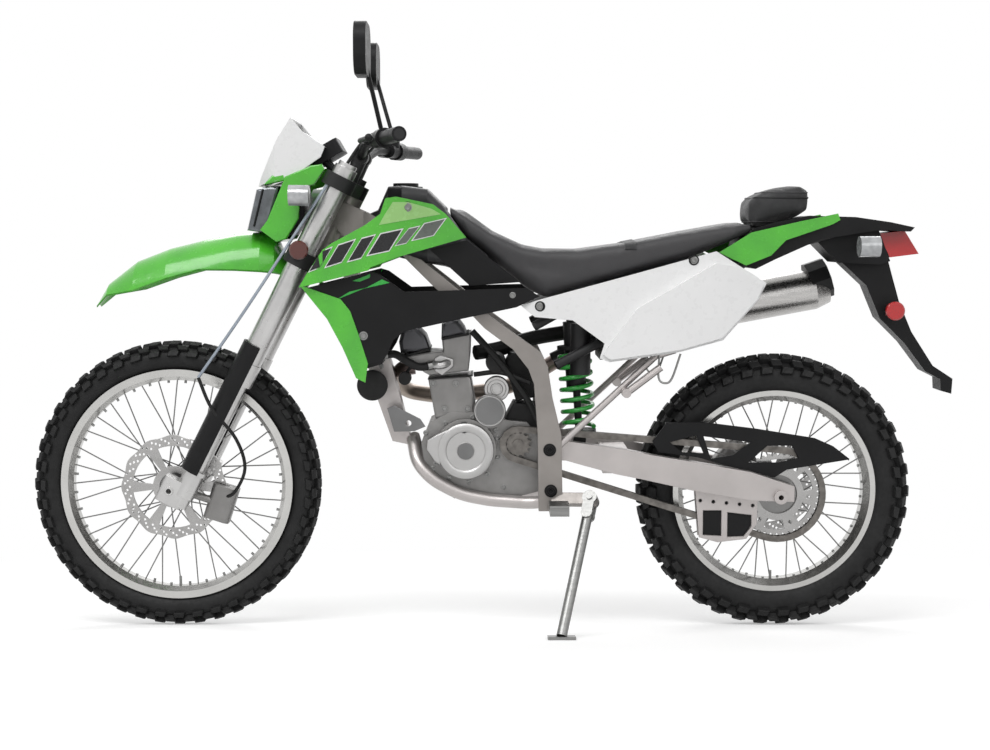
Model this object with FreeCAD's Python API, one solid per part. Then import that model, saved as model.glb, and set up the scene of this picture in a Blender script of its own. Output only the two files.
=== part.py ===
import FreeCAD, Part
import math
import os

# Dual sport motorcycle, in millimetres. It is drawn upright in the bike's frame: +X to the rear,
# -Y the left side, +Z up, x = 0 midway between the axles and z = 0 the road. Every solid is then
# leaned over onto the side stand and moved so that the origin is under the middle of its box.

# Overall values
WHEELBASE = 1430.0
LEAN_DEG = 8.5
RAKE_DEG = 27.0
STEER_DEG = 45.0
STAND_DEG = 111.0
RUN_CLEAR = 0.3
OVERRUN = 60.0
CRUMB = 5.0
SKIN = 4.0
BOSS_R = 8.0
ARC_SHARE = 0.45

# Wheels: radii and half widths
FRONT_R = 345.0
FRONT_CROWN = 42.0
FRONT_FLANGE_R = 277.0
FRONT_BEAD_R = 264.0
FRONT_WELL_R = 256.0
FRONT_BARREL_R = 250.0
FRONT_RIM_HALF = 26.0
REAR_R = 330.0
REAR_CROWN = 60.0
REAR_FLANGE_R = 247.0
REAR_BEAD_R = 234.0
REAR_WELL_R = 224.0
REAR_BARREL_R = 217.0
REAR_RIM_HALF = 34.0
RIM_LIP = 4.0
WELL_SHARE = 0.42
LUG_DEEP = 12.0
SPOKES = 36
SPOKE_R = 1.6
SPOKE_SIDES = 6
SPOKE_WRAP_DEG = 62.0
AXLE_R = 10.0
AXLE_BORE_R = 6.0
HUB_FLANGE_R = 38.0
HUB_FLANGE_HALF = 3.0
HUB_BODY_R = 24.0
SPACER_R = 17.0
FRONT_FLANGE_Y = 30.0
FRONT_HUB_HALF = 75.0
FRONT_DISC_Y = -57.0
FRONT_DISC_R = 125.0
REAR_FLANGE_Y = 36.0
REAR_HUB_HALF = 85.7
REAR_DISC_Y = 70.0
REAR_DISC_R = 120.0
DISC_THICK = 4.0
DISC_BAND = 24.0
DISC_SEAT_R = 46.0
DISC_PETALS = 12
DISC_PETAL_DEEP = 5.0
DISC_ARMS = 6
DISC_ARM_WIDE = 13.0

# Chain and sprockets
PITCH = 15.875
ROLLER_R = 5.08
REAR_TEETH = 42
FRONT_TEETH = 14
CHAIN_Y = -74.0
CHAIN_INNER_HALF = 4.2
CHAIN_HALF = 8.0
PLATE_HALF_HIGH = 7.3
TOOTH_HALF = 2.7
TIP_CLEAR = 1.0
TOOTH_DEEP = 7.0
SPROCKET_WINDOW_R = 60.0
SPROCKET_ARMS = 6
COUNTER_X = 100.0
COUNTER_Z = 450.0

# Fork, in its own frame: along is up the steering axis from the axle's level
CLAMP_OFFSET = 30.0
AXLE_LEAD = 33.0
TRAIL = 105.0
LEG_Y = 98.0
OUTER_TUBE_R = 27.0
INNER_TUBE_R = 21.5
OUTER_LOW = 298.0
COLLAR_LONG = 56.0
COLLAR_R = 29.5
OUTER_HIGH = 858.0
CAP_HIGH = 10.0
CAP_R = 22.0
LOWER_CLAMP_LOW = 605.0
LOWER_CLAMP_HIGH = 642.0
UPPER_CLAMP_LOW = 804.0
UPPER_CLAMP_HIGH = 836.0
CLAMP_EAR_R = 38.0
CLAMP_WEB = 30.0
STEM_R = 15.0
STEM_NUT_R = 18.0
STEM_NUT_HIGH = 14.0
HEAD_TUBE_R = 31.0
STEM_BOSS_R = 31.0
FOOT_LOW = -26.0
FOOT_HIGH = 62.0
FOOT_R = 25.0
GUARD_LOW = 64.0
GUARD_HIGH = 397.0
GUARD_IN_R = 31.0
GUARD_OUT_R = 35.0
GUARD_ARC_DEG = 125.0
GUARD_RING_HIGH = 10.0

# Handlebar and what it carries
BAR_R = 11.1
BAR_CLAMP_R = 14.3
BAR_X = -267.0
BAR_Z = 1122.0
BAR_MID_Y = 55.0
BEND_X = -243.0
BEND_Y = 170.0
BEND_Z = 1150.0
GRIP_X = -200.0
GRIP_Y = 275.0
GRIP_Z = 1151.0
BAR_END_X = -157.0
BAR_END_Y = 405.0
BAR_END_Z = 1153.0
GRIP_R = 16.0
RISER_Y = 45.0
RISER_HALF = 17.0
RISER_R = 18.0
SWITCH_R = 22.0
SWITCH_LONG = 36.0
PERCH_LONG = 28.0
LEVER_REACH = 62.0
LEVER_R = 5.5
LEVER_BALL_R = 9.0
LEVER_DROP = 8.0
TANK_CUP_R = 19.0
TANK_CUP_HIGH = 34.0
MIRROR_X = -240.0
MIRROR_Y = 330.0
MIRROR_Z = 1335.0
MIRROR_RIGHT_LIFT = 35.0
MIRROR_RIGHT_BACK = 25.0
MIRROR_WIDE = 150.0
MIRROR_HIGH = 112.0
MIRROR_THICK = 26.0
MIRROR_ROUND = 40.0
MIRROR_FOOT_Y = 262.0
MIRROR_STEM_R = 5.0

# Front fender
FENDER_X = -899.0
FENDER_Z = 776.0
FENDER_LONG = 527.0
FENDER_HALF = 90.0
FENDER_HIGH = 174.0
FENDER_SHARES = [(0.004, 0.278, 0.011, -0.02), (0.059, 0.556, 0.287, 0.138),
                 (0.188, 0.867, 0.586, 0.207), (0.336, 0.978, 0.759, 0.368),
                 (0.491, 1, 0.874, 0.494), (0.639, 0.978, 0.96, 0.489),
                 (0.751, 0.911, 0.989, 0.471), (0.814, 0.8, 0.93, 0.45),
                 (0.86, 0.65, 0.63, 0.42), (1, 0.36, 0.43, 0.33)]
CLAMP_GAP_FRONT = 72.0

# Headlight, its mask and visor, with the instrument behind them
MASK_X = -535.0
MASK_Z = 905.0
MASK_LONG = 194.0
MASK_HIGH = 189.0
MASK_SHARES = [(0.03, 0.24), (0, 0.42), (0.05, 0.767), (0.51, 0.873), (0.974, 1), (1, 0.926),
               (0.804, 0.73), (0.639, 0.704), (0.572, 0.503), (0.572, 0.106), (0.438, 0)]
MASK_HALF = 102.0
MASK_BACK_HALF = 88.0
MASK_SIDE_SHARE = 0.3
LENS_LOW = 946.0
LENS_HIGH = 1038.0
LENS_HALF = 74.0
LENS_PROUD = 6.0
LAMP_BACK_X = -440.0
LAMP_ROUND = 18.0
CLAMP_ARM_X = -360.0
VISOR_X = -512.0
VISOR_Z = 1050.0
VISOR_LONG = 166.0
VISOR_HIGH = 160.0
VISOR_SHARES = [(0, 0), (0.193, 0.375), (0.343, 0.7), (0.53, 1), (0.687, 0.8), (1, 0.581),
                (0.94, 0.431), (0.488, 0.11), (0.157, -0.02)]
VISOR_HALF = 98.0
VISOR_BACK_HALF = 96.0
DIAL_X = -352.0
DIAL_Z = 1130.0
DIAL_LONG = 36.0
DIAL_HIGH = 84.0
DIAL_HALF = 62.0
DIAL_ROUND = 14.0
DIAL_TILT_DEG = 30.0
FRONT_LAMP_X = -400.0
FRONT_LAMP_Y = 128.0
FRONT_LAMP_Z = 1030.0
REAR_LAMP_X = 900.0
REAR_LAMP_Y = 128.0
REAR_LAMP_Z = 915.0
INDICATOR_R = 24.0
INDICATOR_LONG = 46.0
INDICATOR_STEM_R = 7.0
REFLECTOR_R = 22.0
REFLECTOR_THICK = 8.0
FORK_REFLECTOR_ALONG = 660.0

# Front caliper
CALIPER_LONG = 62.0
CALIPER_HIGH = 84.0
CALIPER_WIDE = 52.0
CALIPER_SLOT = 12.0
CALIPER_ROUND = 14.0
CALIPER_REACH = 76.0
FRONT_CALIPER_DEG = 18.0
REAR_CALIPER_DEG = -140.0
CALIPER_LUG_R = 9.0

# Main frame
SPAR_X = -335.0
SPAR_Z = 300.0
SPAR_LONG = 539.0
SPAR_HIGH = 730.0
SPAR_SHARES = [(0, 1), (0.182, 0.938), (0.354, 0.821), (0.547, 0.708), (0.686, 0.623),
               (0.818, 0.553), (0.904, 0.508), (0.933, 0.464), (0.954, 0.363), (0.993, 0.244),
               (1, 0), (0.896, 0), (0.891, 0.248), (0.874, 0.407), (0.85, 0.455), (0.783, 0.518),
               (0.662, 0.584), (0.612, 0.622), (0.453, 0.708), (0.304, 0.815), (0.041, 0.875),
               (0.004, 0.912)]
SPAR_HALF = 133.0
SPAR_PLAN_SHARES = [(0, 0.30), (0.135, 0.37), (0.34, 0.72), (0.55, 0.94), (0.72, 1), (1.02, 1)]
SPAR_THICK_SHARES = [0.15, 0.16, 0.20, 0.20, 0.17, 0.135]
SPAR_ROUND = 12.0
CROSS_R = 16.0
CROSS_TOP_X = 120.0
CROSS_TOP_Z = 665.0
CROSS_LOW_X = 178.0
CROSS_LOW_Z = 330.0
DOWN_X = -330.0
DOWN_Z = 440.0
DOWN_LONG = 180.0
DOWN_HIGH = 475.0
DOWN_SHARES = [(0.044, 0.926), (0.411, 0.396), (0.55, 0.219), (0.733, 0.021), (1, 0), (0.878, 0.183),
               (0.728, 0.408), (0.222, 0.947), (0.067, 1)]
DOWN_HALF = 24.0
CRADLE_R = 15.0
CRADLE_Y = 75.0
CRADLE_PLAN_SHARES = [(-0.5, 0.667, 0.28), (-0.463, 0.42, 0.8), (-0.34, 0.235, 1), (-0.12, 0.065, 1),
                      (0.12, 0, 1), (0.45, -0.03, 1.04), (0.62, 0.03, 1.42), (0.66, 0.06, 1.62)]
CRADLE_LONG = 300.0
CRADLE_Z = 316.0
CRADLE_HIGH = 210.0

# Subframe
RAIL_R = 11.0
RAIL_Y = 84.0
UPPER_RAIL_SHARES = [(0.16, 0, 1.38), (0.3, 0.3, 1.08), (0.7, 0.74, 1), (1, 1, 0.55)]
LOWER_RAIL_SHARES = [(0.22, -0.42, 1.42), (0.38, -0.1, 1.1), (0.72, 0.62, 1.02), (0.76, 0.8, 0.98)]
RAIL_LONG = 850.0
RAIL_Z = 730.0
RAIL_HIGH = 215.0
RAIL_CROSS_SHARES = [0.34, 0.68]

# Engine
CASE_X = -128.0
CASE_Z = 318.0
CASE_LONG = 278.0
CASE_HIGH = 206.0
CASE_SHARES = [(0.029, 0.398), (0, 0.641), (0.072, 0.883), (0.245, 1), (0.568, 1), (0.712, 0.908),
               (0.9, 0.883), (1, 0.7), (1, 0.083), (0.82, 0.019), (0.281, 0), (0.119, 0.131)]
CASE_HALF = 62.0
CRANK_X = -23.0
CRANK_Z = 438.0
COVER_R = 72.0
COVER_STEP_R = 60.0
COVER_PLUG_R = 19.0
COVER_BASE_Y = 84.0
COVER_RIM_Y = 95.0
COVER_HOLLOW_R = 49.0
COVER_HOLLOW_DEEP = 5.0
SMALL_COVER_X = 35.0
SMALL_COVER_Z = 522.0
SMALL_COVER_R = 34.0
RING_COVER_X = 49.0
RING_COVER_Z = 566.0
RING_COVER_R = 28.0
CLUTCH_X = 20.0
CLUTCH_Z = 425.0
CLUTCH_R = 84.0
CLUTCH_Y = 104.0
CLUTCH_CAP_R = 62.0
CLUTCH_CAP_Y = 116.0
SPROCKET_COVER_R = 50.0
SPROCKET_COVER_Y = 96.0
COUNTER_SHAFT_R = 12.0
BARREL_TILT_DEG = 8.0
BARREL_X = -48.0
BARREL_LONG = 90.0
BARREL_HALF = 56.0
BARREL_LOW = 505.0
BARREL_HIGH = 606.0
BARREL_RIBS = 4
RIB_THICK = 5.0
RIB_DEEP = 5.0
HEAD_LONG = 130.0
HEAD_HALF = 66.0
HEAD_HIGH = 66.0
CAM_R = 30.0
CAM_APART = 62.0
CAM_HALF = 70.0
PORT_R = 24.0

# Cooling
RAD_TILT_DEG = 16.0
RAD_X = -272.0
RAD_Z = 650.0
RAD_THICK = 34.0
RAD_IN_Y = 46.0
RAD_WIDE = 100.0
RAD_HIGH = 130.0
RAD_TANK_HIGH = 16.0
RAD_LOUVRES = 9
LOUVRE_THICK = 3.0
LOUVRE_DEEP = 16.0
HOSE_R = 13.0

# Fuel tank
TANK_X = -258.0
TANK_Z = 830.0
TANK_LONG = 288.0
TANK_HALF = 120.0
TANK_HIGH = 225.0
TANK_ROUND = 26.0
TANK_SHARES = [(0.007, 0.28, 0.489, 0.7), (0.1, 0.36, 0.345, 0.755), (0.184, 0.38, 0.29, 0.996),
               (0.306, 0.78, 0.25, 1), (0.514, 0.983, 0.2, 0.964), (0.653, 0.983, 0.17, 0.791),
               (0.826, 0.9, 0.1, 0.46), (1, 0.8, 0.06, 0.3)]
CAP_X = -165.0
CAP_TOP_Z = 1062.0
FILLER_R = 40.0
FILLER_HIGH = 24.0
FILLER_GRIP_R = 30.0
FILLER_GRIP_HIGH = 8.0

# Side panels: outline boxes, share outlines, and half widths at the front, middle and rear
SHROUD_X = -398.0
SHROUD_Z = 822.0
SHROUD_LONG = 378.0
SHROUD_HIGH = 205.0
SHROUD_BEND = (192.0, 188.0, 114.0)
SHROUD_BOSS_SHARE = (0.68, 0.72)
SHROUD_BOSS_DEEP = 96.0
SHROUD_SHARES = [(0, 0), (0.045, 0.137), (0.146, 0.415), (0.201, 0.488), (0.317, 0.605),
                 (0.399, 0.688), (0.489, 0.81), (0.519, 0.98), (0.582, 1), (0.802, 0.917),
                 (0.878, 0.81), (1, 0.551), (0.595, 0.337), (0.431, 0.224), (0.418, 0.19)]
STRIP_X = -398.0
STRIP_Z = 605.0
STRIP_LONG = 148.0
STRIP_HIGH = 223.0
STRIP_SHARES = [(0, 1), (0.419, 0.653), (0.649, 0.366), (0.858, 0.047), (1, 0), (1.04, 0.197),
                (0.915, 0.465), (0.775, 0.732), (0.63, 0.854)]
FAIRING_X = -394.0
FAIRING_Z = 645.0
FAIRING_LONG = 542.0
FAIRING_HIGH = 213.0
FAIRING_BEND = (176.0, 168.0, 138.0)
FAIRING_BOSS_SHARE = (0.68, 0.68)
FAIRING_BOSS_DEEP = 50.0
FAIRING_SHARES = [(0, 0.812), (0.29, 1), (0.327, 0.972), (0.43, 0.784), (0.943, 0.822), (1, 0.732),
                  (0.902, 0.615), (0.723, 0.521), (0.594, 0.451), (0.432, 0.362), (0.384, 0.268),
                  (0.36, 0.127), (0.336, 0.028), (0.266, 0), (0.229, 0.277), (0.19, 0.545),
                  (0.149, 0.667)]
KNEE_X = -104.0
KNEE_Z = 824.0
KNEE_LONG = 208.0
KNEE_HIGH = 105.0
KNEE_BEND = (121.0, 120.5, 116.0)
KNEE_SHARES = [(0, 0.793), (0.409, 1), (1, 0.081), (0.442, 0)]
COVER_X = 105.0
COVER_Z = 650.0
COVER_LONG = 566.0
COVER_HIGH = 254.0
COVER_BEND = (132.0, 154.0, 122.0)
COVER_BOSS_SHARE = (0.42, 0.62)
COVER_BOSS_DEEP = 90.0
COVER_SHARES = [(0, 0.512), (0.081, 0.567), (0.32, 0.713), (0.79, 1), (1, 0.713), (0.966, 0.559),
                (0.822, 0.197), (0.643, 0.091), (0.36, 0), (0.32, 0.035), (0.339, 0.169),
                (0.21, 0.378), (0.057, 0.406)]
POD_X = 293.0
POD_Z = 656.0
POD_LONG = 369.0
POD_HIGH = 222.0
POD_BEND = (150.0, 168.0, 130.0)
POD_DEEP = 22.0
POD_SHARES = [(0, 0.054), (0.214, 0.536), (0.702, 1), (0.832, 0.955), (1, 0.775), (0.962, 0.622),
              (0.74, 0.225), (0.477, 0.104), (0.049, 0)]
TAIL_X = 562.0
TAIL_Z = 871.0
TAIL_LONG = 284.0
TAIL_HIGH = 120.0
TAIL_BEND = (122.0, 114.0, 84.0)
TAIL_SHARES = [(0, 0.25), (0.261, 0.633), (0.669, 0.85), (0.979, 1), (1, 0.875), (0.937, 0.792),
               (0.546, 0.483), (0.426, 0.192), (0.222, 0), (0.099, 0.133)]

# Seat, airbox and tool bag
SEAT_X = -70.0
SEAT_Z = 790.0
SEAT_LONG = 720.0
SEAT_HALF = 130.0
SEAT_HIGH = 230.0
SEAT_ROUND = 20.0
SEAM_SHARES = [(0.003, 1.3), (0.003, 0.904), (0.071, 0.622), (0.176, 0.352), (0.236, 0.2),
               (0.236, -0.2), (-0.4, -0.2), (-0.4, 1.3)]
SEAT_SHARES = [(0.011, 0.477, 0.848, 0.983), (0.069, 0.6, 0.63, 0.878), (0.153, 0.677, 0.413, 0.687),
               (0.25, 0.769, 0.157, 0.548), (0.319, 0.846, 0.013, 0.509), (0.431, 0.938, 0.109, 0.504),
               (0.576, 1, 0.239, 0.565), (0.775, 1, 0.417, 0.687), (0.931, 0.908, 0.617, 0.774),
               (0.993, 0.754, 0.7, 0.787)]
AIR_X = 292.0
AIR_Z = 650.0
AIR_LONG = 228.0
AIR_HIGH = 190.0
AIR_HALF = 84.0
AIR_SHARES = [(0, 0), (0, 0.8), (0.35, 0.92), (0.8, 1), (1, 0.55), (0.66, 0.2), (0.3, 0.02)]
BAG_X = 634.0
BAG_Z = 957.0
BAG_LONG = 148.0
BAG_HIGH = 100.0
BAG_HALF = 76.0
BAG_ROUND = 16.0
BAG_SHARES = [(0.011, 0.82, 0.02, 0.62), (0.12, 1, 0.0, 0.76), (0.5, 1, 0.18, 0.93),
              (0.85, 0.96, 0.3, 1), (0.99, 0.8, 0.4, 0.9)]

# Rear fender, tail light and the plate arm
FIN_X = 560.0
FIN_Z = 860.0
FIN_LONG = 460.0
FIN_HIGH = 126.0
FIN_HALF = 92.0
FIN_TIP_HALF = 60.0
FIN_SHARES = [(0.09, 0.12), (0.15, 0.72), (0.3, 0.88), (0.468, 1), (0.7, 0.976), (0.88, 0.881),
              (1, 0.786), (0.98, 0.71), (0.83, 0.74), (0.52, 0.56), (0.3, 0.2), (0.2, 0.02)]
BOX_X = 800.0
BOX_Z = 872.0
BOX_LONG = 174.0
BOX_HIGH = 92.0
BOX_HALF = 56.0
BOX_SHARES = [(0, 0.6), (0.1, 0.86), (0.81, 1), (1, 0.09), (0.862, 0), (0.293, 0.055)]
LIGHT_X = 944.0
LIGHT_Z = 889.0
LIGHT_LONG = 97.0
LIGHT_HIGH = 62.0
LIGHT_HALF = 54.0
LIGHT_SHARES = [(0.02, 0.9), (0.65, 1), (1, 0.138), (0.3, 0)]
ARM_X = 862.0
ARM_Z = 565.0
ARM_LONG = 273.0
ARM_HIGH = 315.0
ARM_HALF = 34.0
ARM_TIP_HALF = 88.0
ARM_SHARES = [(0, 1), (0.231, 0.816), (0.352, 0.571), (0.571, 0.384), (0.762, 0.168), (0.894, 0.111),
              (0.901, 0.022), (0.993, 0), (1, 0.114), (0.824, 0.213), (0.63, 0.47), (0.516, 0.698),
              (0.451, 0.889), (0.414, 1)]
SIDE_REFLECTOR_X = 982.0
SIDE_REFLECTOR_Y = 100.0
SIDE_REFLECTOR_Z = 764.0
SIDE_REFLECTOR_R = 27.0
REFLECTOR_BAR_R = 5.0

# Exhaust
HEADER_R = 19.0
MUFFLER_Y = 132.0
MUFFLER_X = 470.0
MUFFLER_Z = 740.0
MUFFLER_TILT_DEG = 10.6
MUFFLER_CONE = 70.0
MUFFLER_LONG = 404.0
MUFFLER_CAP = 34.0
MUFFLER_R = 50.0
MUFFLER_TIP_R = 24.0
HEADER_X = -160.0
HEADER_Z = 650.0
HEADER_LONG = 630.0
HEADER_HIGH = 120.0
HEADER_SHARES = [(0.032, -0.18, 0), (-0.019, -0.23, 0.1), (-0.057, -0.43, 0.5), (-0.025, -0.78, 0.9),
                 (0.12, -0.92, 1.08), (0.4, -0.75, 1.17), (0.6, -0.08, 1.17), (0.8, 0.46, 1.02)]

# Swingarm, shock and stand
BEAM_X = 150.0
BEAM_Z = 318.0
BEAM_LONG = 598.0
BEAM_HIGH = 152.0
BEAM_SHARES = [(0, 1), (0.104, 0.947), (0.214, 0.882), (0.331, 0.816), (0.436, 0.73), (0.617, 0.612),
               (0.831, 0.461), (1, 0.237), (1, 0), (0.831, 0.02), (0.617, 0.164), (0.398, 0.355),
               (0.298, 0.434), (0.181, 0.559), (0.104, 0.645), (0, 0.658)]
BEAM_IN = 86.0
BEAM_OUT = 112.0
PIVOT_X = 172.0
PIVOT_Z = 444.0
PIVOT_R = 19.0
BRIDGE_X = 300.0
BRIDGE_LONG = 62.0
BRIDGE_Z = 382.0
BRIDGE_HIGH = 52.0
AXLE_NUT_R = 16.0
AXLE_NUT_LONG = 12.0
SHOCK_TOP_X = 232.0
SHOCK_TOP_Z = 735.0
SHOCK_LOW_X = 250.0
SHOCK_LOW_Z = 452.0
SHOCK_R = 24.0
SHOCK_ROD_R = 9.0
SHOCK_COLLAR_R = 41.0
SPRING_R = 36.0
SPRING_WIRE_R = 5.5
SPRING_TURNS = 7
SHOCK_EYE_R = 15.0
SHOCK_EYE_HALF = 16.0
POT_R = 24.0
POT_LONG = 120.0
POT_Y = 74.0
GUARD_X = 416.0
GUARD_Z = 372.0
GUARD_LONG = 464.0
GUARD_DEEP = 129.0
GUARD_SHARES = [(0.069, 1), (0.267, 1), (0.528, 0.884), (0.823, 0.713), (0.916, 0.566), (1, 0.333),
                (0.685, 0.147), (0.621, 0), (0.399, 0.202), (0.231, 0.372), (0.032, 0.465),
                (0, 0.667)]
GUARD_Y = 84.6
GUARD_THICK = 1.0
SHIELD_Y = 112.0
GUIDE_X = 518.0
GUIDE_Z = 218.0
GUIDE_LONG = 148.0
GUIDE_HIGH = 112.0
GUIDE_SHARES = [(0, 1), (1, 0.857), (0.986, 0.393), (0.824, 0.071), (0.365, 0), (0.068, 0.107)]
STAND_X = 268.0
STAND_Y = -150.0
STAND_Z = 330.0
STAND_REACH_X = -75.0
STAND_REACH_Y = -180.0
STAND_R = 12.0
STAND_EYE_R = 17.0
STAND_EYE_HALF = 9.0
STAND_BOLT_R = 7.0
STAND_CHEEK = 8.0
STAND_BAR_WIDE = 28.0
PAD_LONG = 62.0
PAD_WIDE = 40.0
PAD_THICK = 7.0
STAND_FOLD_X = 315.0
STAND_FOLD_Y = -35.0
STAND_FOLD_Z = 94.0

# Foot controls and pegs
PEG_X = 205.0
PEG_Z = 312.0
PEG_IN_Y = 140.0
PEG_LONG = 78.0
PEG_HALF_X = 22.0
PEG_HALF_Z = 9.0
PEG_TEETH = 5
PEG_TOOTH_HIGH = 6.0
PEG_STEM_R = 9.0
STAY_R = 10.0
STAY_Y = 132.0
SHIFT_X = 60.0
SHIFT_Z = 395.0
SHIFT_LONG = 120.0
SHIFT_R = 6.0
SHIFT_TIP = 34.0
SHIFT_Y = 104.0

V = FreeCAD.Vector
ORIGIN = V(0, 0, 0)
ACROSS = V(0, 1, 0)
UP = V(0, 0, 1)
ALONG = V(1, 0, 0)

RAKE = math.radians(RAKE_DEG)
LEAN = math.radians(LEAN_DEG)
FRONT_X = -WHEELBASE / 2
REAR_X = WHEELBASE / 2
FORK_OFFSET = CLAMP_OFFSET + AXLE_LEAD
FORK_ORIGIN = V(FRONT_X + FORK_OFFSET * math.cos(RAKE), 0, FRONT_R - FORK_OFFSET * math.sin(RAKE))
FORK_UP = V(math.sin(RAKE), 0, math.cos(RAKE))
FLOOR_DROP = REAR_CROWN * (1 - math.cos(LEAN))


# Helpers

def outline(x, z, long, high, shares):
    """Points (x, z) of an outline given as shares of its box."""
    return [(x + long * a, z + high * b) for a, b in shares]


def side_face(points, y):
    """A flat face across the bike at y, from (x, z) points."""
    corners = [V(x, y, z) for x, z in points]
    return Part.Face(Part.makePolygon(corners + corners[:1]))


def slab(points, y_low, y_high):
    """A side outline made solid between two places across the bike."""
    return side_face(points, y_low).extrude(V(0, y_high - y_low, 0))


def mirrored(shape):
    return shape.mirror(ORIGIN, ACROSS)


def both(shape):
    return [shape, mirrored(shape)]


def fuse(first, *others):
    joined = first.multiFuse(list(others)) if others else first
    return joined


def seated(shape, *carriers):
    """The shape without what its carriers fill, with loose crumbs left out."""
    for carrier in carriers:
        shape = shape.cut(carrier)
    kept = [s for s in shape.Solids if s.Volume > CRUMB ** 3]
    return kept[0] if len(kept) == 1 else Part.makeCompound(kept)


def rod(start, end, radius):
    line = end - start
    return Part.makeCylinder(radius, line.Length, start, line)


def path_of(points, bend):
    """Straight runs joined by tangent arcs, as one wire."""
    edges = []
    last = points[0]
    for before, corner, after in zip(points, points[1:], points[2:]):
        back, ahead = before - corner, after - corner
        reach = min(back.Length, ahead.Length) * ARC_SHARE
        back.normalize()
        ahead.normalize()
        half = back.getAngle(ahead) / 2
        radius = min(bend, reach * math.tan(half))
        tangent = radius / math.tan(half)
        middle = back + ahead
        middle.normalize()
        start = corner + back * tangent
        end = corner + ahead * tangent
        edges.append(Part.makeLine(last, start))
        top = corner + middle * (radius / math.sin(half) - radius)
        edges.append(Part.Arc(start, top, end).toShape())
        last = end
    edges.append(Part.makeLine(last, points[-1]))
    return Part.Wire(edges)


def tube(points, radius, bend):
    path = path_of(points, bend)
    ring = Part.Wire(Part.makeCircle(radius, points[0], points[1] - points[0]))
    return path.makePipeShell([ring], True, False)


def spun(section, x, z):
    """A ring about the wheel's axle, from (y, radius) points."""
    corners = [V(x, y, z + r) for y, r in section]
    face = Part.Face(Part.makePolygon(corners + corners[:1]))
    return face.revolve(V(x, 0, z), ACROSS, 360)


def rounded(long, wide, high, radius, centre):
    """A box with its upright edges rounded, set by its centre."""
    box = Part.makeBox(long, wide, high, centre - V(long, wide, high) * 0.5)
    upright = [e for e in box.Edges if abs(e.tangentAt(e.FirstParameter).z) > 0.5]
    return box.makeFillet(radius, upright)


def side_sheet(points, bend, thick, span=None):
    """A bent panel on the left: a side outline cut from a sheet that is an arc in plan."""
    xs = span or [x for x, z in points]
    zs = [z for x, z in points]
    places = (min(xs) - OVERRUN, (min(xs) + max(xs)) / 2, max(xs) + OVERRUN)
    low = min(zs) - OVERRUN
    outer = [V(x, -y, low) for x, y in zip(places, bend)]
    inner = [p + V(0, thick, 0) for p in outer]
    band = Part.Face(Part.Wire([
        Part.Arc(outer[0], outer[1], outer[2]).toShape(), Part.makeLine(outer[2], inner[2]),
        Part.Arc(inner[2], inner[1], inner[0]).toShape(), Part.makeLine(inner[0], outer[0])]))
    wall = band.extrude(V(0, 0, max(zs) - min(zs) + 2 * OVERRUN))
    return slab(points, -max(bend) - OVERRUN, 0).common(wall)


def rounded_ring(x, half, low, high, radius):
    """A closed rounded rectangle across the bike at x."""
    r = min(radius, half * ARC_SHARE, (high - low) * ARC_SHARE)
    k = r * (1 - math.sqrt(0.5))
    lines = [(V(x, -half, low + r), V(x, -half, high - r)), (V(x, -half + r, high), V(x, half - r, high)),
             (V(x, half, high - r), V(x, half, low + r)), (V(x, half - r, low), V(x, -half + r, low))]
    tops = [V(x, -half + k, high - k), V(x, half - k, high - k),
            V(x, half - k, low + k), V(x, -half + k, low + k)]
    edges = []
    for i, (start, end) in enumerate(lines):
        edges.append(Part.makeLine(start, end))
        edges.append(Part.Arc(end, tops[i], lines[(i + 1) % 4][0]).toShape())
    return Part.Wire(edges)


def body_loft(x, z, long, half, high, radius, shares):
    rings = [rounded_ring(x + long * a, half * w, z + high * low, z + high * top, radius)
             for a, w, low, top in shares]
    return Part.makeLoft(rings, True, True)


def in_fork(shape):
    """From the fork's own frame, with z up the steering axis, to the bike's."""
    placed = shape.copy()
    placed.rotate(ORIGIN, ACROSS, RAKE_DEG)
    placed.translate(FORK_ORIGIN)
    return placed


def fork_point(across, y, along):
    return FORK_ORIGIN + V(math.cos(RAKE), 0, -math.sin(RAKE)) * across + FORK_UP * along + V(0, y, 0)


# Wheels

def tyre(x, z, radius, crown, flange, bead, well, rim_half):
    centre = z + radius - crown
    at_flange = math.sqrt(crown ** 2 - (radius - crown - flange) ** 2)
    lip = rim_half - RIM_LIP
    well_half = rim_half * WELL_SHARE
    left, right = V(x, -at_flange, z + flange), V(x, at_flange, z + flange)
    inside = [(rim_half, flange), (lip, flange), (lip, bead), (well_half, well), (-well_half, well),
              (-lip, bead), (-lip, flange), (-rim_half, flange)]
    corners = [right] + [V(x, y, z + r) for y, r in inside] + [left]
    edges = [Part.makeLine(a, b) for a, b in zip(corners, corners[1:])]
    edges.append(Part.Arc(left, V(x, 0, centre + crown), right).toShape())
    return Part.Face(Part.Wire(edges)).revolve(V(x, 0, z), ACROSS, 360)


def rim(x, z, flange, bead, well, barrel, half):
    lip = half - RIM_LIP
    well_half = half * WELL_SHARE
    right = [(well_half, well), (lip, bead), (lip, flange), (half, flange), (half, bead - RIM_LIP),
             (well_half, barrel)]
    left = [(-y, r) for y, r in reversed(right)]
    return spun(right + left, x, z)


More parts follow.
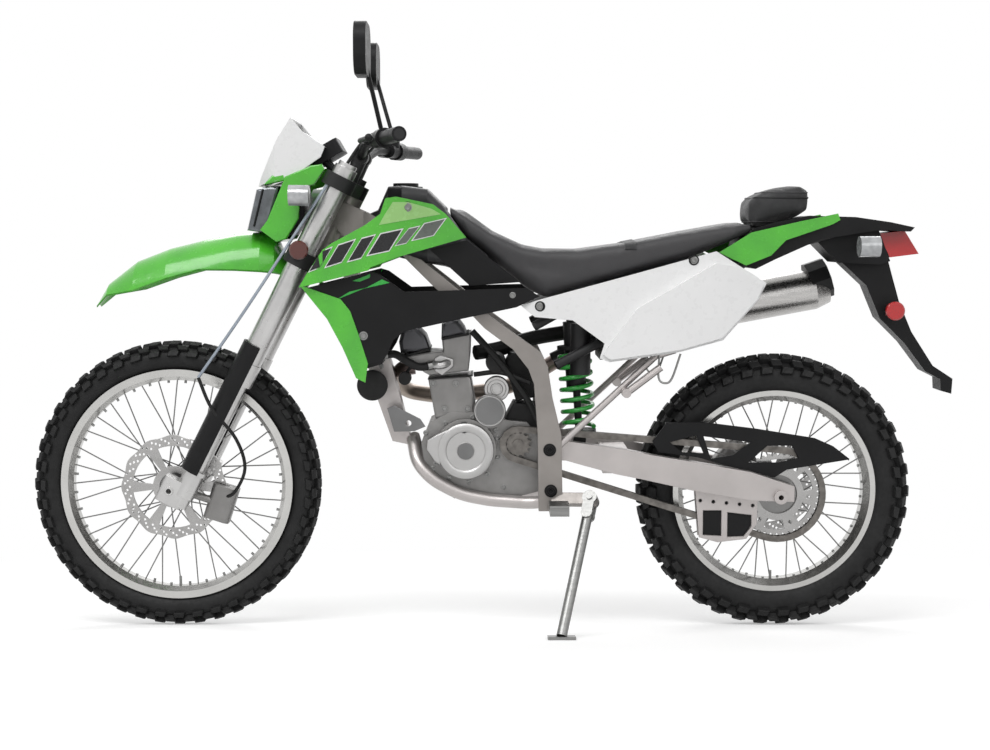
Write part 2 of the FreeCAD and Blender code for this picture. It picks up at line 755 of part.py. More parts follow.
def spokes(x, z, flange_y, barrel):
    made = []
    for i in range(SPOKES):
        side = 1 if i % 2 else -1
        lead = 1 if (i // 2) % 2 else -1
        outer = math.radians(360 / SPOKES * i)
        inner = outer - lead * math.radians(SPOKE_WRAP_DEG)
        start_r = HUB_FLANGE_R - 2 * SPOKE_R
        start = V(x + start_r * math.cos(inner), side * (flange_y + lead * SPOKE_R), z + start_r * math.sin(inner))
        end_r = barrel - SPOKE_R / 4
        end = V(x + end_r * math.cos(outer), side * SPOKE_R * 3, z + end_r * math.sin(outer))
        line = end - start
        side_way = line.cross(ACROSS)
        side_way.normalize()
        other = line.cross(side_way)
        other.normalize()
        ring = []
        for k in range(SPOKE_SIDES):
            turn = math.radians(360 / SPOKE_SIDES * k)
            ring.append(start + side_way * (SPOKE_R * math.cos(turn)) + other * (SPOKE_R * math.sin(turn)))
        made.append(Part.Face(Part.makePolygon(ring + ring[:1])).extrude(line))
    return made


def hub(x, z, flange_y, half, seats, barrel):
    """seats are (y of the seat's face, inner y, radius) of the disc and sprocket carriers."""
    bore = AXLE_R + RUN_CLEAR
    section = [(-half, bore), (-half, SPACER_R), (-flange_y, SPACER_R), (-flange_y, HUB_BODY_R),
               (flange_y, HUB_BODY_R), (flange_y, SPACER_R), (half, SPACER_R), (half, bore)]
    body = spun(section, x, z)
    pieces = []
    for side in (-1, 1):
        y = side * flange_y
        pieces.append(spun([(y - HUB_FLANGE_HALF, bore), (y - HUB_FLANGE_HALF, HUB_FLANGE_R),
                            (y + HUB_FLANGE_HALF, HUB_FLANGE_R), (y + HUB_FLANGE_HALF, bore)], x, z))
    for face_y, inner_y, radius in seats:
        pieces.append(spun([(face_y, bore), (face_y, radius), (inner_y, radius), (inner_y, bore)], x, z))
    return fuse(body, *pieces, *spokes(x, z, flange_y, barrel))


def ring_plate(x, z, y, thick, outer, inner):
    face = Part.Face([Part.Wire(Part.makeCircle(outer, V(x, y, z), ACROSS)),
                      Part.Wire(Part.makeCircle(inner, V(x, y, z), ACROSS))])
    face.validate()
    return face.extrude(V(0, thick, 0))


def brake_disc(x, z, y, radius):
    """A petal-edged ring carried by arms on a seat ring."""
    low = y - DISC_THICK / 2
    points = []
    for i in range(DISC_PETALS * 4):
        turn = math.radians(360 / (DISC_PETALS * 4) * i)
        r = radius if i % 4 in (0, 1) else radius - DISC_PETAL_DEEP
        points.append((x + r * math.cos(turn), z + r * math.sin(turn)))
    face = side_face(points, low)
    inner = radius - DISC_BAND
    hole = Part.makeCylinder(inner, DISC_THICK, V(x, low, z), ACROSS)
    band = face.extrude(V(0, DISC_THICK, 0)).cut(hole)
    seat = ring_plate(x, z, low, DISC_THICK, DISC_SEAT_R, SPACER_R)
    arms = []
    for i in range(DISC_ARMS):
        turn = 360 / DISC_ARMS * i
        arm = Part.makeBox(inner + SKIN - SPACER_R - SKIN, DISC_THICK, DISC_ARM_WIDE,
                           V(SPACER_R + SKIN, low, -DISC_ARM_WIDE / 2))
        arm.rotate(ORIGIN, ACROSS, turn)
        arm.translate(V(x, 0, z))
        arms.append(arm)
    return fuse(band, seat, *arms)


def pitch_radius(teeth):
    return PITCH / 2 / math.sin(math.pi / teeth)


def sprocket(x, z, teeth, thick_half, bore, clear):
    tip = pitch_radius(teeth) - ROLLER_R - clear
    points = []
    for i in range(teeth):
        for part_turn, r in ((0.2, tip - TOOTH_DEEP), (0.45, tip), (0.55, tip), (0.8, tip - TOOTH_DEEP)):
            turn = 2 * math.pi * (i + part_turn) / teeth
            points.append((x + r * math.cos(turn), z + r * math.sin(turn)))
    plate = side_face(points, CHAIN_Y - thick_half).extrude(V(0, 2 * thick_half, 0))
    return plate.cut(Part.makeCylinder(bore, 4 * thick_half, V(x, CHAIN_Y - 2 * thick_half, z), ACROSS))


def chain_spots():
    """Pitch points of the closed loop round both sprockets."""
    small, large = pitch_radius(FRONT_TEETH), pitch_radius(REAR_TEETH)
    gap_x, gap_z = REAR_X - COUNTER_X, REAR_R - COUNTER_Z
    span = math.hypot(gap_x, gap_z)
    slope = math.atan2(gap_z, gap_x)
    lift = math.asin((large - small) / span)
    run = span * math.cos(lift)
    top = slope + math.pi / 2 + lift
    low = slope - math.pi / 2 - lift
    rear_arc = large * (top - low)
    front_arc = small * (2 * math.pi - (top - low))
    whole = 2 * run + rear_arc + front_arc
    count = 2 * round(whole / PITCH / 2)
    step = whole / count
    spots = []
    for i in range(count):
        s = step * i
        if s < run:
            base_x = COUNTER_X + small * math.cos(top)
            base_z = COUNTER_Z + small * math.sin(top)
            spots.append((base_x + s * math.sin(top), base_z - s * math.cos(top)))
        elif s < run + rear_arc:
            turn = top - (s - run) / large
            spots.append((REAR_X + large * math.cos(turn), REAR_R + large * math.sin(turn)))
        elif s < 2 * run + rear_arc:
            back = s - run - rear_arc
            base_x = REAR_X + large * math.cos(low)
            base_z = REAR_R + large * math.sin(low)
            spots.append((base_x + back * math.sin(low), base_z - back * math.cos(low)))
        else:
            turn = low - (s - 2 * run - rear_arc) / small
            spots.append((COUNTER_X + small * math.cos(turn), COUNTER_Z + small * math.sin(turn)))
    return spots


def offset_loop(spots, reach):
    """The loop moved outwards by reach, point by point."""
    moved = []
    for i, (x, z) in enumerate(spots):
        ax, az = spots[i - 1]
        bx, bz = spots[(i + 1) % len(spots)]
        dx, dz = bx - ax, bz - az
        size = math.hypot(dx, dz)
        moved.append((x - dz / size * reach, z + dx / size * reach))
    return moved


def chain():
    spots = chain_spots()
    outer = offset_loop(spots, PLATE_HALF_HIGH)
    inner = offset_loop(spots, -PLATE_HALF_HIGH)
    plates = []
    for low in (CHAIN_Y - CHAIN_HALF, CHAIN_Y + CHAIN_INNER_HALF):
        thick = CHAIN_HALF - CHAIN_INNER_HALF
        plates.append(slab(outer, low, low + thick).cut(slab(inner, low - thick, low + 2 * thick)))
    rollers = []
    for x, z in spots:
        ring = [(x + ROLLER_R * math.cos(math.pi / 3 * k), z + ROLLER_R * math.sin(math.pi / 3 * k))
                for k in range(6)]
        rollers.append(slab(ring, CHAIN_Y - CHAIN_INNER_HALF, CHAIN_Y + CHAIN_INNER_HALF))
    return fuse(plates[0], plates[1], *rollers)


# Fork and what turns with it

def clamp_plate(low, high):
    """A web from ear to ear with bosses round the tubes and the stem."""
    thick = high - low
    start = V(0, 0, low)
    pieces = []
    for side in (-1, 1):
        pieces.append(Part.makeCylinder(CLAMP_EAR_R, thick, V(-CLAMP_OFFSET, side * LEG_Y, low), UP))
    stem = Part.makeCylinder(STEM_BOSS_R, thick, start, UP)
    back = STEM_BOSS_R * math.sqrt(0.5)
    corners = [V(-CLAMP_OFFSET - CLAMP_WEB, -LEG_Y, low), V(-CLAMP_OFFSET - CLAMP_WEB, LEG_Y, low),
               V(0, LEG_Y, low), V(back, back, low), V(back, -back, low), V(0, -LEG_Y, low)]
    web = Part.Face(Part.makePolygon(corners + corners[:1])).extrude(V(0, 0, thick))
    plate = fuse(stem, web, *pieces)
    for side in (-1, 1):
        plate = plate.cut(Part.makeCylinder(OUTER_TUBE_R, thick, V(-CLAMP_OFFSET, side * LEG_Y, low), UP))
    return plate


def triple_clamps():
    lower = clamp_plate(LOWER_CLAMP_LOW, LOWER_CLAMP_HIGH)
    upper = clamp_plate(UPPER_CLAMP_LOW, UPPER_CLAMP_HIGH)
    stem = Part.makeCylinder(STEM_R, UPPER_CLAMP_HIGH - LOWER_CLAMP_LOW, V(0, 0, LOWER_CLAMP_LOW), UP)
    nut = Part.makeCylinder(STEM_NUT_R, STEM_NUT_HIGH, V(0, 0, UPPER_CLAMP_HIGH), UP)
    return in_fork(fuse(lower, upper, stem, nut))


def leg_base(side, along):
    return V(-CLAMP_OFFSET, side * LEG_Y, along)


def fork_tubes():
    made = []
    for side in (-1, 1):
        outer = Part.makeCylinder(OUTER_TUBE_R, OUTER_HIGH - OUTER_LOW, leg_base(side, OUTER_LOW), UP)
        collar = Part.makeCylinder(COLLAR_R, COLLAR_LONG, leg_base(side, OUTER_LOW), UP)
        cap = Part.makeCylinder(CAP_R, CAP_HIGH, leg_base(side, OUTER_HIGH), UP)
        made.append(in_fork(fuse(outer, collar, cap)))
    return Part.makeCompound(made)


def fork_legs():
    """Sliding tubes, the feet that clamp the axle, and the axle."""
    pieces = []
    for side in (-1, 1):
        pieces.append(Part.makeCylinder(INNER_TUBE_R, OUTER_LOW - FOOT_LOW, leg_base(side, FOOT_LOW), UP))
        pieces.append(Part.makeCylinder(FOOT_R, FOOT_HIGH + GUARD_RING_HIGH, leg_base(side, 0), UP))
        ring = leg_base(side, FOOT_HIGH)
        pieces.append(Part.makeCylinder(GUARD_IN_R, GUARD_RING_HIGH, ring, UP))
        lug = rounded(FORK_OFFSET, FRONT_CROWN, FOOT_HIGH, BOSS_R, V(0, 0, 0))
        lug.translate(V(-CLAMP_OFFSET - AXLE_LEAD * 0.75, side * LEG_Y, 0))
        pieces.append(lug)
    reach = LEG_Y + FOOT_R
    start = V(-FORK_OFFSET, -reach, 0)
    axle = Part.makeCylinder(AXLE_R, 2 * reach, start, ACROSS)
    bore = Part.makeCylinder(AXLE_BORE_R, 2 * reach, start, ACROSS)
    return in_fork(fuse(axle, *pieces).cut(bore))


def fork_guards():
    made = []
    for side in (-1, 1):
        base = leg_base(side, GUARD_LOW)
        high = GUARD_HIGH - GUARD_LOW
        wall = Part.makeCylinder(GUARD_OUT_R, high, base, UP).cut(
            Part.makeCylinder(GUARD_IN_R, high, base, UP))
        open_box = Part.makeBox(2 * GUARD_OUT_R, 2 * GUARD_OUT_R, high,
                                base + V(GUARD_IN_R * 0.35, -GUARD_OUT_R, 0))
        made.append(in_fork(wall.cut(open_box)))
    return Part.makeCompound(made)


def handlebar_points():
    side = [V(BAR_X, BAR_MID_Y, BAR_Z), V(BEND_X, BEND_Y, BEND_Z), V(GRIP_X, GRIP_Y, GRIP_Z),
            V(BAR_END_X, BAR_END_Y, BAR_END_Z)]
    return [V(p.x, -p.y, p.z) for p in reversed(side)] + side


def handlebar():
    bar = tube(handlebar_points(), BAR_R, BEND_Y)
    risers = []
    for side in (-1, 1):
        foot = fork_point(-BAR_CLAMP_R, side * RISER_Y, UPPER_CLAMP_HIGH)
        top = V(BAR_X, side * RISER_Y, BAR_Z)
        risers.append(rod(foot, top, RISER_HALF))
        hood = Part.makeCylinder(RISER_R, 2 * RISER_HALF, V(BAR_X, side * RISER_Y - RISER_HALF, BAR_Z), ACROSS)
        risers.append(hood)
    return bar, fuse(risers[0], risers[1]), fuse(risers[2], risers[3])


def grip_line(side):
    return V(GRIP_X, side * GRIP_Y, GRIP_Z), V(BAR_END_X, side * BAR_END_Y, BAR_END_Z)


def hand_controls(bar):
    """Grips, switch blocks, lever perches, levers and the brake's fluid cup."""
    made = []
    for side in (-1, 1):
        inner, end = grip_line(side)
        way = end - inner
        way.normalize()
        grip_start = inner + way * (SWITCH_LONG / 2)
        grip = rod(grip_start, end, GRIP_R)
        switch = rod(grip_start - way * SWITCH_LONG, grip_start, SWITCH_R)
        perch_end = inner - way * SWITCH_LONG
        perch = rod(perch_end - way * PERCH_LONG, grip_start, SWITCH_R * 0.8)
        out = V(-LEVER_REACH, 0, -LEVER_DROP)
        pivot = perch_end + out * 0.5
        arm = rod(perch_end - way * (PERCH_LONG / 2), pivot, LEVER_BALL_R)
        tip = end + out - way * LEVER_BALL_R
        bend = inner + way * SWITCH_LONG + out
        lever = tube([pivot, bend, tip], LEVER_R, BEND_Y)
        ball = Part.makeSphere(LEVER_BALL_R, tip)
        joined = fuse(grip, switch, perch, arm, Part.makeSphere(LEVER_BALL_R, pivot), lever, ball)
        if side > 0:
            cup = Part.makeCylinder(TANK_CUP_R, TANK_CUP_HIGH, perch_end + V(0, 0, SWITCH_R * 0.4), UP)
            joined = fuse(joined, cup)
        made.append(seated(joined, bar))
    return Part.makeCompound(made)


def mirrors(bar, controls):
    made = []
    for side in (-1, 1):
        lift = MIRROR_RIGHT_LIFT if side > 0 else 0
        back = MIRROR_RIGHT_BACK if side > 0 else 0
        centre = V(MIRROR_X - back, side * MIRROR_Y, MIRROR_Z + lift)
        head = rounded(MIRROR_HIGH, MIRROR_WIDE, MIRROR_THICK, MIRROR_ROUND, ORIGIN)
        head.rotate(ORIGIN, ACROSS, 90)
        head.translate(centre)
        inner, end = grip_line(side)
        foot = V(inner.x, side * MIRROR_FOOT_Y, inner.z)
        knee = V((foot.x + centre.x) / 2, side * (MIRROR_FOOT_Y + SWITCH_R), (foot.z + centre.z) / 2)
        stem = tube([foot, knee, centre], MIRROR_STEM_R, BEND_Y)
        made.append(seated(fuse(head, stem), bar, controls))
    return Part.makeCompound(made)


def front_fender():
    rings = []
    for a, w, crest, side in FENDER_SHARES:
        x = FENDER_X + FENDER_LONG * a
        half = FENDER_HALF * w
        top, low = FENDER_Z + FENDER_HIGH * crest, FENDER_Z + FENDER_HIGH * side
        outer = Part.Arc(V(x, -half, low), V(x, 0, top), V(x, half, low)).toShape()
        inner = Part.Arc(V(x, half - SKIN, low - SKIN), V(x, 0, top - SKIN), V(x, SKIN - half, low - SKIN))
        rings.append(Part.Wire([outer, Part.makeLine(V(x, half, low), V(x, half - SKIN, low - SKIN)),
                                inner.toShape(), Part.makeLine(V(x, SKIN - half, low - SKIN), V(x, -half, low))]))
    shell = Part.makeLoft(rings, True, True)
    room = Part.makeBox(2 * CLAMP_GAP_FRONT, 2 * FENDER_HALF + OVERRUN, FENDER_HIGH,
                        V(-CLAMP_GAP_FRONT, -FENDER_HALF - OVERRUN / 2, LOWER_CLAMP_LOW))
    return shell.cut(in_fork(room))


def plan_shape(front_x, side_x, back_x, half, back_half, low, high):
    """A D in plan: an arc across the nose, then sides that run back."""
    left, nose, right = V(side_x, -half, low), V(front_x, 0, low), V(side_x, half, low)
    back_right, back_left = V(back_x, back_half, low), V(back_x, -back_half, low)
    wire = Part.Wire([Part.Arc(left, nose, right).toShape(), Part.makeLine(right, back_right),
                      Part.makeLine(back_right, back_left), Part.makeLine(back_left, left)])
    return Part.Face(wire).extrude(V(0, 0, high - low))


def nose_shell(points, half, back_half, thick):
    """A side outline with a nose that is an arc in plan, left open at the back and below."""
    xs = [x for x, z in points]
    zs = [z for x, z in points]
    front, back = min(xs), max(xs)
    low, high = min(zs), max(zs)
    side_x = front + (back - front) * MASK_SIDE_SHARE
    whole = slab(points, -half, half).common(
        plan_shape(front, side_x, back + OVERRUN, half, back_half, low, high))
    inner = slab([(x + thick, z - thick) for x, z in points], -half, half).common(
        plan_shape(front + thick, side_x + thick, back + OVERRUN, half - thick, back_half - thick,
                   low - thick, high))
    return whole.cut(inner)


def lamp_block(low, high, half, front_x, back_x):
    block = rounded(back_x - front_x, 2 * half, high - low, LAMP_ROUND, ORIGIN)
    block.translate(V((front_x + back_x) / 2, 0, (low + high) / 2))
    return block


def nose_parts():
    points = outline(MASK_X, MASK_Z, MASK_LONG, MASK_HIGH, MASK_SHARES)
    mask = nose_shell(points, MASK_HALF, MASK_BACK_HALF, SKIN)
    lamp = lamp_block(LENS_LOW, LENS_HIGH, LENS_HALF, MASK_X - LENS_PROUD, LAMP_BACK_X)
    mask = seated(mask, lamp)
    visor = nose_shell(outline(VISOR_X, VISOR_Z, VISOR_LONG, VISOR_HIGH, VISOR_SHARES),
                       VISOR_HALF, VISOR_BACK_HALF, SKIN)
    return mask, lamp, visor


def instrument():
    case = rounded(DIAL_HIGH, 2 * DIAL_HALF, DIAL_LONG, DIAL_ROUND, ORIGIN)
    case.rotate(ORIGIN, ACROSS, -DIAL_TILT_DEG)
    case.translate(V(DIAL_X, 0, DIAL_Z))
    legs = [rod(V(DIAL_X, side * RISER_Y, DIAL_Z - DIAL_LONG / 2),
                fork_point(-CLAMP_OFFSET, side * RISER_Y, UPPER_CLAMP_HIGH - BOSS_R), BOSS_R)
            for side in (-1, 1)]
    return fuse(case, *legs)


def indicators(x, y, z, root_x, root_y):
    made = []
    for side in (-1, 1):
        lamp = Part.makeCylinder(INDICATOR_R, INDICATOR_LONG, V(x - INDICATOR_LONG / 2, side * (y + INDICATOR_R), z), ALONG)
        stem = rod(V(root_x, side * root_y, z), V(x, side * (y + INDICATOR_R / 2), z), INDICATOR_STEM_R)
        made.append(fuse(lamp, stem))
    return made


def caliper(x, z, disc_y, disc_radius, turn_deg, side):
    """A block that straddles the disc's edge, set at an angle about the axle, and its bracket."""
    block = rounded(CALIPER_LONG, CALIPER_WIDE, CALIPER_HIGH, CALIPER_ROUND, ORIGIN)
    block.translate(V(disc_radius - CALIPER_LONG * 0.1, disc_y, 0))
    slot = Part.makeCylinder(disc_radius + CALIPER_SLOT / 2, CALIPER_SLOT, V(0, disc_y - CALIPER_SLOT / 2, 0), ACROSS)
    beside = V(disc_radius, disc_y + side * (CALIPER_SLOT / 2 + CALIPER_LUG_R), 0)
    bracket = rod(beside, beside - ALONG * CALIPER_REACH, CALIPER_LUG_R)
    made = fuse(block.cut(slot), bracket)
    made.rotate(ORIGIN, ACROSS, turn_deg)
    made.translate(V(x, 0, z))
    return made


# Frame

def main_frame():
    points = outline(SPAR_X, SPAR_Z, SPAR_LONG, SPAR_HIGH, SPAR_SHARES)
    outer = [V(SPAR_X + SPAR_LONG * a, -SPAR_HALF * w, SPAR_Z) for a, w in SPAR_PLAN_SHARES]
    inner = [p + V(0, SPAR_HALF * t, 0) for p, t in zip(outer, SPAR_THICK_SHARES)]
    ring = outer + inner[::-1]
    wall = Part.Face(Part.makePolygon(ring + ring[:1])).extrude(V(0, 0, SPAR_HIGH))
    spar = slab(points, -SPAR_HALF - OVERRUN, 0).common(wall)
    head_low = LOWER_CLAMP_HIGH + RUN_CLEAR
    head_high = UPPER_CLAMP_LOW - RUN_CLEAR
    head = in_fork(Part.makeCylinder(HEAD_TUBE_R, head_high - head_low, V(0, 0, head_low), UP))
    bore = in_fork(Part.makeCylinder(STEM_R + RUN_CLEAR, head_high - head_low, V(0, 0, head_low), UP))
    clear_high = in_fork(Part.makeBox(HEAD_TUBE_R * 4, HEAD_TUBE_R * 4, OVERRUN,
                                      V(-HEAD_TUBE_R * 2, -HEAD_TUBE_R * 2, head_high)))
    clear_low = in_fork(Part.makeBox(HEAD_TUBE_R * 3, HEAD_TUBE_R * 4, OVERRUN,
                                     V(-HEAD_TUBE_R * 2, -HEAD_TUBE_R * 2, head_low - OVERRUN)))
    inner_y = SPAR_HALF * (1 - SPAR_THICK_SHARES[-1])
    crosses = [rod(V(x, -inner_y, z), V(x, inner_y, z), CROSS_R)
               for x, z in ((CROSS_TOP_X, CROSS_TOP_Z), (CROSS_LOW_X, CROSS_LOW_Z))]
    frame = fuse(head, spar, mirrored(spar), *crosses)
    return frame.cut(bore).cut(clear_high).cut(clear_low)


def frame_cradle(frame):
    down = slab(outline(DOWN_X, DOWN_Z, DOWN_LONG, DOWN_HIGH, DOWN_SHARES), -DOWN_HALF, DOWN_HALF)
    rails = []
    for side in (-1, 1):
        points = [V(CRADLE_LONG * a, side * CRADLE_Y * w, CRADLE_Z + CRADLE_HIGH * b)
                  for a, b, w in CRADLE_PLAN_SHARES]
        rails.append(tube(points, CRADLE_R, CRADLE_LONG))
    return seated(fuse(down, *rails), frame)


def subframe(frame):
    pieces = []
    for table in (UPPER_RAIL_SHARES, LOWER_RAIL_SHARES):
        points = [V(RAIL_LONG * a, -RAIL_Y * w, RAIL_Z + RAIL_HIGH * b) for a, b, w in table]
        rail = tube(points, RAIL_R, RAIL_LONG)
        pieces.extend(both(rail))
    for share in RAIL_CROSS_SHARES:
        x = RAIL_LONG * share
        z = RAIL_Z + RAIL_HIGH * (0.3 + (share - 0.3) * 1.1)
        pieces.append(rod(V(x, -RAIL_Y, z), V(x, RAIL_Y, z), RAIL_R))
    return seated(fuse(pieces[0], *pieces[1:]), frame)


# Engine

def crankcase():
    return slab(outline(CASE_X, CASE_Z, CASE_LONG, CASE_HIGH, CASE_SHARES), -CASE_HALF, CASE_HALF)


def engine_covers():
    made = []
    base = Part.makeCylinder(COVER_R, COVER_BASE_Y - CASE_HALF, V(CRANK_X, -COVER_BASE_Y, CRANK_Z), ACROSS)
    drum = Part.makeCylinder(COVER_STEP_R, COVER_RIM_Y - CASE_HALF, V(CRANK_X, -COVER_RIM_Y, CRANK_Z), ACROSS)
    hollow = Part.makeCylinder(COVER_HOLLOW_R, COVER_HOLLOW_DEEP, V(CRANK_X, -COVER_RIM_Y, CRANK_Z), ACROSS)
    plug = Part.makeCylinder(COVER_PLUG_R, COVER_HOLLOW_DEEP, V(CRANK_X, -COVER_RIM_Y, CRANK_Z), ACROSS)
    small = Part.makeCylinder(SMALL_COVER_R, COVER_BASE_Y - CASE_HALF,
                              V(SMALL_COVER_X, -COVER_BASE_Y, SMALL_COVER_Z), ACROSS)
    left = fuse(fuse(base, drum).cut(hollow), plug, small)
    made.append(left)
    clutch = Part.makeCylinder(CLUTCH_R, CLUTCH_Y - CASE_HALF, V(CLUTCH_X, CASE_HALF, CLUTCH_Z), ACROSS)
    cap = Part.makeCylinder(CLUTCH_CAP_R, CLUTCH_CAP_Y - CASE_HALF, V(CLUTCH_X, CASE_HALF, CLUTCH_Z), ACROSS)
    made.append(fuse(clutch, cap))
    return made


def tilted(shape):
    placed = shape.copy()
    placed.rotate(V(BARREL_X, 0, BARREL_LOW), ACROSS, -BARREL_TILT_DEG)
    return placed


def engine_barrel():
    high = BARREL_HIGH - BARREL_LOW + CROSS_R
    core = Part.makeBox(BARREL_LONG, 2 * BARREL_HALF, high,
                        V(BARREL_X - BARREL_LONG / 2, -BARREL_HALF, BARREL_LOW - CROSS_R))
    ribs = []
    for i in range(BARREL_RIBS):
        z = BARREL_LOW + (BARREL_HIGH - BARREL_LOW) * (i + 0.5) / BARREL_RIBS
        ribs.append(Part.makeBox(BARREL_LONG + 2 * RIB_DEEP, 2 * (BARREL_HALF + RIB_DEEP), RIB_THICK,
                                 V(BARREL_X - BARREL_LONG / 2 - RIB_DEEP, -BARREL_HALF - RIB_DEEP, z)))
    return tilted(fuse(core, *ribs))


def engine_top():
    block = Part.makeBox(HEAD_LONG, 2 * HEAD_HALF, HEAD_HIGH, V(BARREL_X - HEAD_LONG / 2, -HEAD_HALF, BARREL_HIGH))
    cams = []
    for side in (-1, 1):
        centre = V(BARREL_X + side * CAM_APART / 2, -CAM_HALF, BARREL_HIGH + HEAD_HIGH)
        cams.append(Part.makeCylinder(CAM_R, 2 * CAM_HALF, centre, ACROSS))
    port = Part.makeCylinder(PORT_R, BARREL_LONG / 2, V(BARREL_X - HEAD_LONG / 2 - RIB_DEEP * 3, 0,
                                                      BARREL_HIGH + HEAD_HIGH / 2), ALONG)
    return tilted(fuse(block, port, *cams))


def radiators(cradle):
    made = []
    for side in (-1, 1):
        y = RAD_IN_Y if side > 0 else -RAD_IN_Y - RAD_WIDE
        core = Part.makeBox(RAD_THICK, RAD_WIDE, RAD_HIGH, V(0, y, 0))
        tanks = [Part.makeBox(RAD_THICK + SKIN * 2, RAD_WIDE, RAD_TANK_HIGH, V(-SKIN, y, z))
                 for z in (-RAD_TANK_HIGH, RAD_HIGH)]
        louvres = []
        for i in range(RAD_LOUVRES):
            z = RAD_HIGH * (i + 0.5) / RAD_LOUVRES
            slat = Part.makeBox(LOUVRE_DEEP, RAD_WIDE, LOUVRE_THICK, V(-LOUVRE_DEEP + SKIN, y, z))
            louvres.append(slat)
        ear_y = y + RAD_WIDE if side < 0 else DOWN_HALF
        ear = Part.makeBox(RAD_THICK / 2, RAD_IN_Y - DOWN_HALF, RAD_TANK_HIGH, V(RAD_THICK / 2, ear_y, RAD_HIGH * 0.75))
        made.append(fuse(core, ear, *tanks, *louvres))
    placed = []
    for one in made:
        one.rotate(ORIGIN, ACROSS, -RAD_TILT_DEG)
        one.translate(V(RAD_X + RAD_HIGH * math.sin(math.radians(RAD_TILT_DEG)) * 0.5, 0, RAD_Z))
        placed.append(seated(one, cradle))
    return placed


# Bodywork

def tank_side():
    """The space in front of the seam where the tank meets the seat."""
    return slab(outline(SEAT_X, SEAT_Z, SEAT_LONG, SEAT_HIGH, SEAM_SHARES), -2 * SEAT_HALF, 2 * SEAT_HALF)


def fuel_tank(frame):
    body = body_loft(TANK_X, TANK_Z, TANK_LONG, TANK_HALF, TANK_HIGH, TANK_ROUND, TANK_SHARES)
    return seated(body.common(tank_side()), frame)


def fuel_cap(tank):
    low = CAP_TOP_Z - FILLER_HIGH
    cap = Part.makeCylinder(FILLER_R, FILLER_HIGH - FILLER_GRIP_HIGH, V(CAP_X, 0, low), UP)
    grip = Part.makeCylinder(FILLER_GRIP_R, FILLER_HIGH, V(CAP_X, 0, low), UP)
    return seated(fuse(cap, grip), tank)


def panel(x, z, long, high, bend, shares):
    return side_sheet(outline(x, z, long, high, shares), bend, SKIN)


def panel_boss(x, z, long, high, bend, shares, spot_share, deep):
    """A round post from the panel's skin inwards, at a share of the panel's box."""
    block = side_sheet(outline(x, z, long, high, shares), bend, deep)
    spot = V(x + long * spot_share[0], 0, z + high * spot_share[1])
    return rod(spot - ACROSS * (max(bend) + OVERRUN), spot, BOSS_R).common(block)


# Muffler and exhaust

def muffler_parts():
    base = V(MUFFLER_X, MUFFLER_Y, MUFFLER_Z)
    way = V(math.cos(math.radians(MUFFLER_TILT_DEG)), 0, math.sin(math.radians(MUFFLER_TILT_DEG)))
    cone = Part.makeCone(HEADER_R, MUFFLER_R, MUFFLER_CONE, base, way)
    can_long = MUFFLER_LONG - MUFFLER_CONE - MUFFLER_CAP
    can = Part.makeCylinder(MUFFLER_R, can_long, base + way * MUFFLER_CONE, way)
    cap = Part.makeCone(MUFFLER_R, MUFFLER_R * 0.8, MUFFLER_CAP, base + way * (MUFFLER_CONE + can_long), way)
    hole = Part.makeCylinder(MUFFLER_TIP_R, MUFFLER_CAP, base + way * (MUFFLER_LONG - MUFFLER_CAP / 2), way)
    can_all = fuse(cone, can, cap).cut(hole)
    room = Part.makeCylinder(MUFFLER_R + SKIN * 2, MUFFLER_LONG + 2 * OVERRUN, base - way * OVERRUN, way)
    points = [V(HEADER_X + HEADER_LONG * a, MUFFLER_Y * w, HEADER_Z + HEADER_HIGH * b)
              for a, b, w in HEADER_SHARES]
    points.append(base - way * MUFFLER_CONE)
    points.append(base)
    pipe = tube(points, HEADER_R, HEADER_LONG)
    return can_all, pipe, fuse(room, tube(points, HEADER_R + SKIN * 2, HEADER_LONG))


# Rear end

def swingarm():
    beam = slab(outline(BEAM_X, BEAM_Z, BEAM_LONG, BEAM_HIGH, BEAM_SHARES), -BEAM_OUT, -BEAM_IN)
    plate_y = SPAR_HALF * (1 - SPAR_THICK_SHARES[-1])
    pivot = rod(V(PIVOT_X, -plate_y, PIVOT_Z), V(PIVOT_X, plate_y, PIVOT_Z), PIVOT_R)
    bridge = Part.makeBox(BRIDGE_LONG, 2 * BEAM_IN, BRIDGE_HIGH, V(BRIDGE_X, -BEAM_IN, BRIDGE_Z))
    reach = BEAM_OUT + AXLE_NUT_LONG
    ends = V(REAR_X, -reach, REAR_R), V(REAR_X, reach, REAR_R)
    axle = rod(*ends, AXLE_R)
    nuts = [rod(V(REAR_X, side * BEAM_OUT, REAR_R), V(REAR_X, side * reach, REAR_R), AXLE_NUT_R)
            for side in (-1, 1)]
    return fuse(beam, mirrored(beam), pivot, bridge, axle, *nuts).cut(rod(*ends, AXLE_BORE_R))


